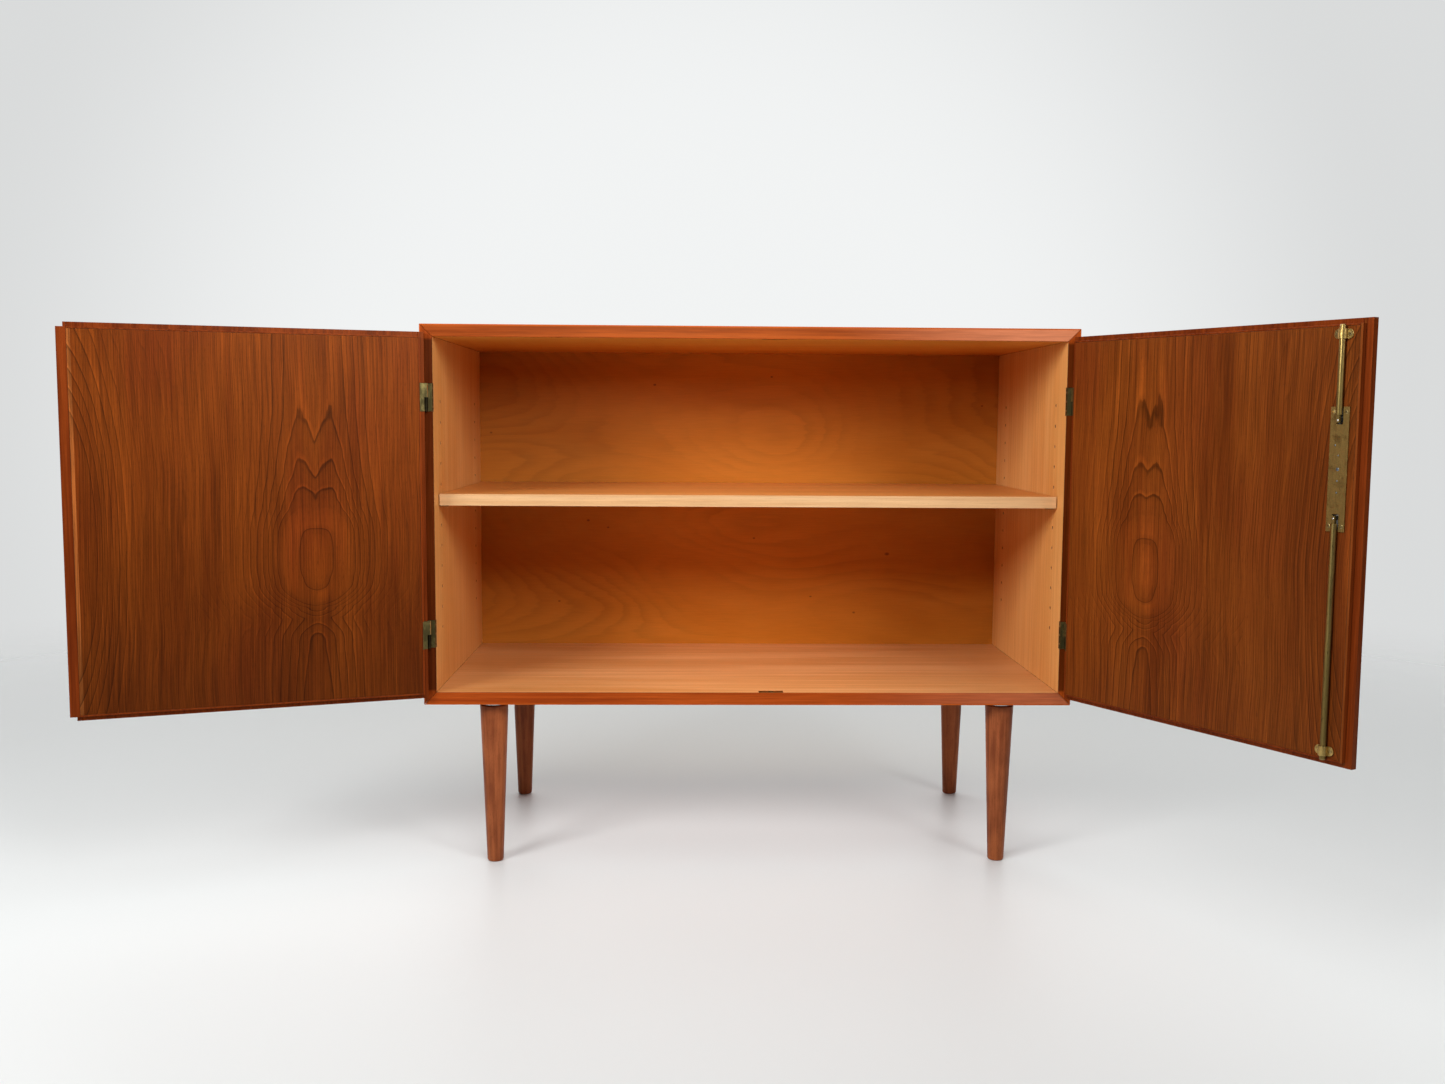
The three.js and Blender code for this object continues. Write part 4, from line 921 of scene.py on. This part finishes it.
def lock_details():
    """The heads on the cover, the rods and the rod guides of the lock."""
    inward = door_way(right_door, (0, 1, 0))
    lock = joints["lock_turn"]
    axis_height = lock["pos_m"][2] - underside
    lock_u = (Vector(lock["pos_m"]).xy - right_door["axis"].xy).length
    cover_low, cover_high = (corner.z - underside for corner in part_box("lock_cover_plate"))
    count = 0
    for across in (-COVER_SCREW_ACROSS, COVER_SCREW_ACROSS):
        for height in (cover_low + COVER_SCREW_FROM_END, cover_high - COVER_SCREW_FROM_END):
            spot = door_point(right_door, lock_u + across, COVER_FACE, height)
            put_head(f"lock_screw_{count}", lock_screw, "right_door", spot, inward, 0.7 * count)
            count += 1
    for number, (across, height) in enumerate(RIVETS):
        spot = door_point(right_door, lock_u + across, COVER_FACE, axis_height + height)
        put_head(f"lock_rivet_{number}", rivet, "right_door", spot, inward)
    spot = door_point(right_door, lock_u, COVER_FACE, axis_height)
    put_head("spindle_end", spindle_end, "lock_spindle", spot, inward)
    flat_face = BOARD_FACE + ROD_CLEARANCE + ROD_RADIUS + ROD_FLAT_HALF
    for level, lock_end, way in (("upper", 0, 1.0), ("lower", 1, -1.0)):
        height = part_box(level + "_rod")[lock_end].z - underside + way * PIN_FROM_ROD_END
        spot = door_point(right_door, lock_u, flat_face, height)
        put_head(level + "_rod_pin_head", rod_pin, level + "_bolt", spot, inward)
    for level in ("upper", "lower"):
        low, high = (corner.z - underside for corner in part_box(level + "_rod_guide"))
        for number, across in enumerate((-GUIDE_SCREW_ACROSS, GUIDE_SCREW_ACROSS)):
            spot = door_point(right_door, lock_u + across, COVER_FACE, (low + high) / 2)
            name = f"{level}_guide_screw_{number}"
            put_head(name, lock_screw, "right_door", spot, inward, 1.1 + number)


def strike_screws():
    """Two screws through each strike plate, in the top and the bottom of the opening."""
    for level, facing in (("upper", -1.0), ("lower", 1.0)):
        low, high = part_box(level + "_strike_plate")
        face = low.z if facing < 0 else high.z
        middle = (low + high) / 2
        for number, across in enumerate((-STRIKE_SCREW_ACROSS, STRIKE_SCREW_ACROSS)):
            spot = Vector((middle.x + across, middle.y, face - facing * STRIKE_SCREW_SINK))
            name = f"{level}_strike_screw_{number}"
            put_head(name, hinge_screw, "cabinet", spot, (0, 0, facing), 0.5 + number)


def hinge_screws():
    """Three screws through each frame leaf's return, on the cabinet's inside face."""
    for word, side in (("left", -1.0), ("right", 1.0)):
        for level in ("lower", "upper"):
            low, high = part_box(f"{word}_{level}_hinge_frame_leaf")
            leaf_face = low.x if side > 0 else high.x
            middle = (low.z + high.z) / 2
            for number, lift in enumerate((-HINGE_SCREW_PITCH, 0.0, HINGE_SCREW_PITCH)):
                spot = Vector((leaf_face, high.y - HINGE_SCREW_FROM_REAR, middle + lift))
                name = f"{word}_{level}_frame_leaf_screw_{number}"
                put_head(name, hinge_screw, "cabinet", spot, (-side, 0, 0), 0.6 * number)


lock_details()
strike_screws()
hinge_screws()


# ---- floor, light and camera ----
FLOOR_RADIUS = 9.0
# The floor fades out between these distances from the middle of the object.
FLOOR_FADE = (1.1, 3.4)
# The light from behind: its full strength, and the cosines of the angles from straight behind where it
# begins and where it is full.
BEHIND_STRENGTH = 2.10
BEHIND_COSINES = (0.2, 0.9)
# The backdrop that the camera sees: its strength far from the middle and at the middle, and the cosines of
# the angles from straight behind, or straight in front, where these begin.
BACKDROP_STRENGTHS = (0.71, 0.90)
BACKDROP_COSINES = (0.875, 0.985)
# Soft lights: place, target, size and power. The third number of a place is above the carcass's underside.
LIGHTS = {
    "key": ((-0.15, -1.2, 0.95), (-0.15, 0.0, 0.85), (0.7, 0.6), 11.5),
    "left fill": ((-1.7, -1.9, 1.3), (0.0, 0.0, 0.4), (0.8, 0.8), 33.0),
    "right fill": ((1.6, -2.1, 1.3), (0.0, 0.0, 0.4), (0.8, 0.8), 20.0),
    "overhead": ((0.0, -0.9, 2.6), (0.0, -0.6, 0.0), (3.0, 2.0), 24.5),
}
# The camera's place, given in the same way, its yaw, pitch and roll in degrees, and its lens in millimetres.
CAMERA_PLACE = (-0.0938, -2.2607, 0.4388)
CAMERA_TURNS = (1.443, -5.234, 0.371)
CAMERA_LENS = 33.16


def above_underside(place):
    """A place whose height is given above the carcass's underside."""
    x, y, height = place
    return Vector((x, y, underside + height))


def make_floor():
    """A pale floor that fades out far from the object, so that no horizon shows."""
    place = (0, 0, floor_z)
    bpy.ops.mesh.primitive_circle_add(vertices=96, radius=FLOOR_RADIUS, fill_type="NGON", location=place)
    floor = bpy.context.object
    floor.name = "floor"
    shader = Shader("pale_floor")
    point = shader.point()
    mottling = shader.noise(point, 1.2, 3.0)
    colour = shader.blend(mottling, (0.735, 0.750, 0.745), (0.755, 0.770, 0.765))
    shader.finish(colour, 0.45, Specular_IOR_Level=0.18)
    fade = shader.range(shader.distance(point, (0, 0, 0)), *FLOOR_FADE, smooth=True)
    clear = shader.node("BsdfTransparent")
    mixed = shader.node("MixShader")
    shader.feed(mixed, 0, fade)
    shader.feed(mixed, 1, shader.surface.outputs[0])
    shader.feed(mixed, 2, clear.outputs[0])
    output = shader.tree.nodes["Material Output"]
    shader.feed(output, "Surface", mixed.outputs[0])
    floor.data.materials.append(shader.material)


def smooth_range(tree, value, limits, results):
    """Carries a value from one range to another, with soft ends, in the world's node tree."""
    made = tree.nodes.new("ShaderNodeMapRange")
    made.interpolation_type = "SMOOTHSTEP"
    for socket, number in zip(("From Min", "From Max", "To Min", "To Max"), (*limits, *results)):
        made.inputs[socket].default_value = number
    tree.links.new(value, made.inputs["Value"])
    return made.outputs["Result"]


def make_world():
    """White surroundings behind the object, and a pale backdrop where the camera looks past it."""
    world = bpy.data.worlds.new("studio")
    world.use_nodes = True
    bpy.context.scene.world = world
    tree = world.node_tree
    direction = tree.nodes.new("ShaderNodeTexCoord")
    axes = tree.nodes.new("ShaderNodeSeparateXYZ")
    tree.links.new(direction.outputs["Generated"], axes.inputs[0])
    ahead = tree.nodes.new("ShaderNodeMath")
    ahead.operation = "ABSOLUTE"
    tree.links.new(axes.outputs["Y"], ahead.inputs[0])
    behind = smooth_range(tree, axes.outputs["Y"], BEHIND_COSINES, (0.0, BEHIND_STRENGTH))
    backdrop = smooth_range(tree, ahead.outputs[0], BACKDROP_COSINES, BACKDROP_STRENGTHS)
    seen = tree.nodes.new("ShaderNodeLightPath")
    strength = tree.nodes.new("ShaderNodeMix")
    strength.data_type = "FLOAT"
    tree.links.new(seen.outputs["Is Camera Ray"], strength.inputs[0])
    tree.links.new(behind, strength.inputs[2])
    tree.links.new(backdrop, strength.inputs[3])
    background = tree.nodes["Background"]
    background.inputs["Color"].default_value = (0.985, 1.0, 1.0, 1.0)
    tree.links.new(strength.outputs[0], background.inputs["Strength"])


def soft_light(name, place, target, size, power):
    light = bpy.data.lights.new(name, "AREA")
    light.shape = "RECTANGLE"
    light.size, light.size_y = size
    light.energy = power
    lamp = bpy.data.objects.new(name, light)
    bpy.context.scene.collection.objects.link(lamp)
    lamp.location = above_underside(place)
    lamp.visible_camera = False
    lamp.rotation_mode = "QUATERNION"
    lamp.rotation_quaternion = (above_underside(target) - lamp.location).to_track_quat("-Z", "Y")


def make_camera():
    """A camera nearly square on to the front, a little left of the middle and level with the carcass."""
    yaw, pitch, roll = (math.radians(degrees) for degrees in CAMERA_TURNS)
    forward = Vector((math.sin(yaw) * math.cos(pitch), math.cos(yaw) * math.cos(pitch), math.sin(pitch)))
    right = forward.cross(Vector((0, 0, 1))).normalized()
    up = right.cross(forward)
    side = math.cos(roll) * right + math.sin(roll) * up
    top = -math.sin(roll) * right + math.cos(roll) * up
    lens = bpy.data.cameras.new("camera")
    lens.sensor_width = 36.0
    lens.lens = CAMERA_LENS
    camera = bpy.data.objects.new("camera", lens)
    bpy.context.scene.collection.objects.link(camera)
    turned = Matrix((side, top, -forward)).transposed().to_4x4()
    camera.matrix_world = Matrix.Translation(above_underside(CAMERA_PLACE)) @ turned
    bpy.context.scene.camera = camera


make_floor()
make_world()
for light_name, settings in LIGHTS.items():
    soft_light(light_name, *settings)
make_camera()
bpy.context.scene.view_settings.view_transform = "Standard"
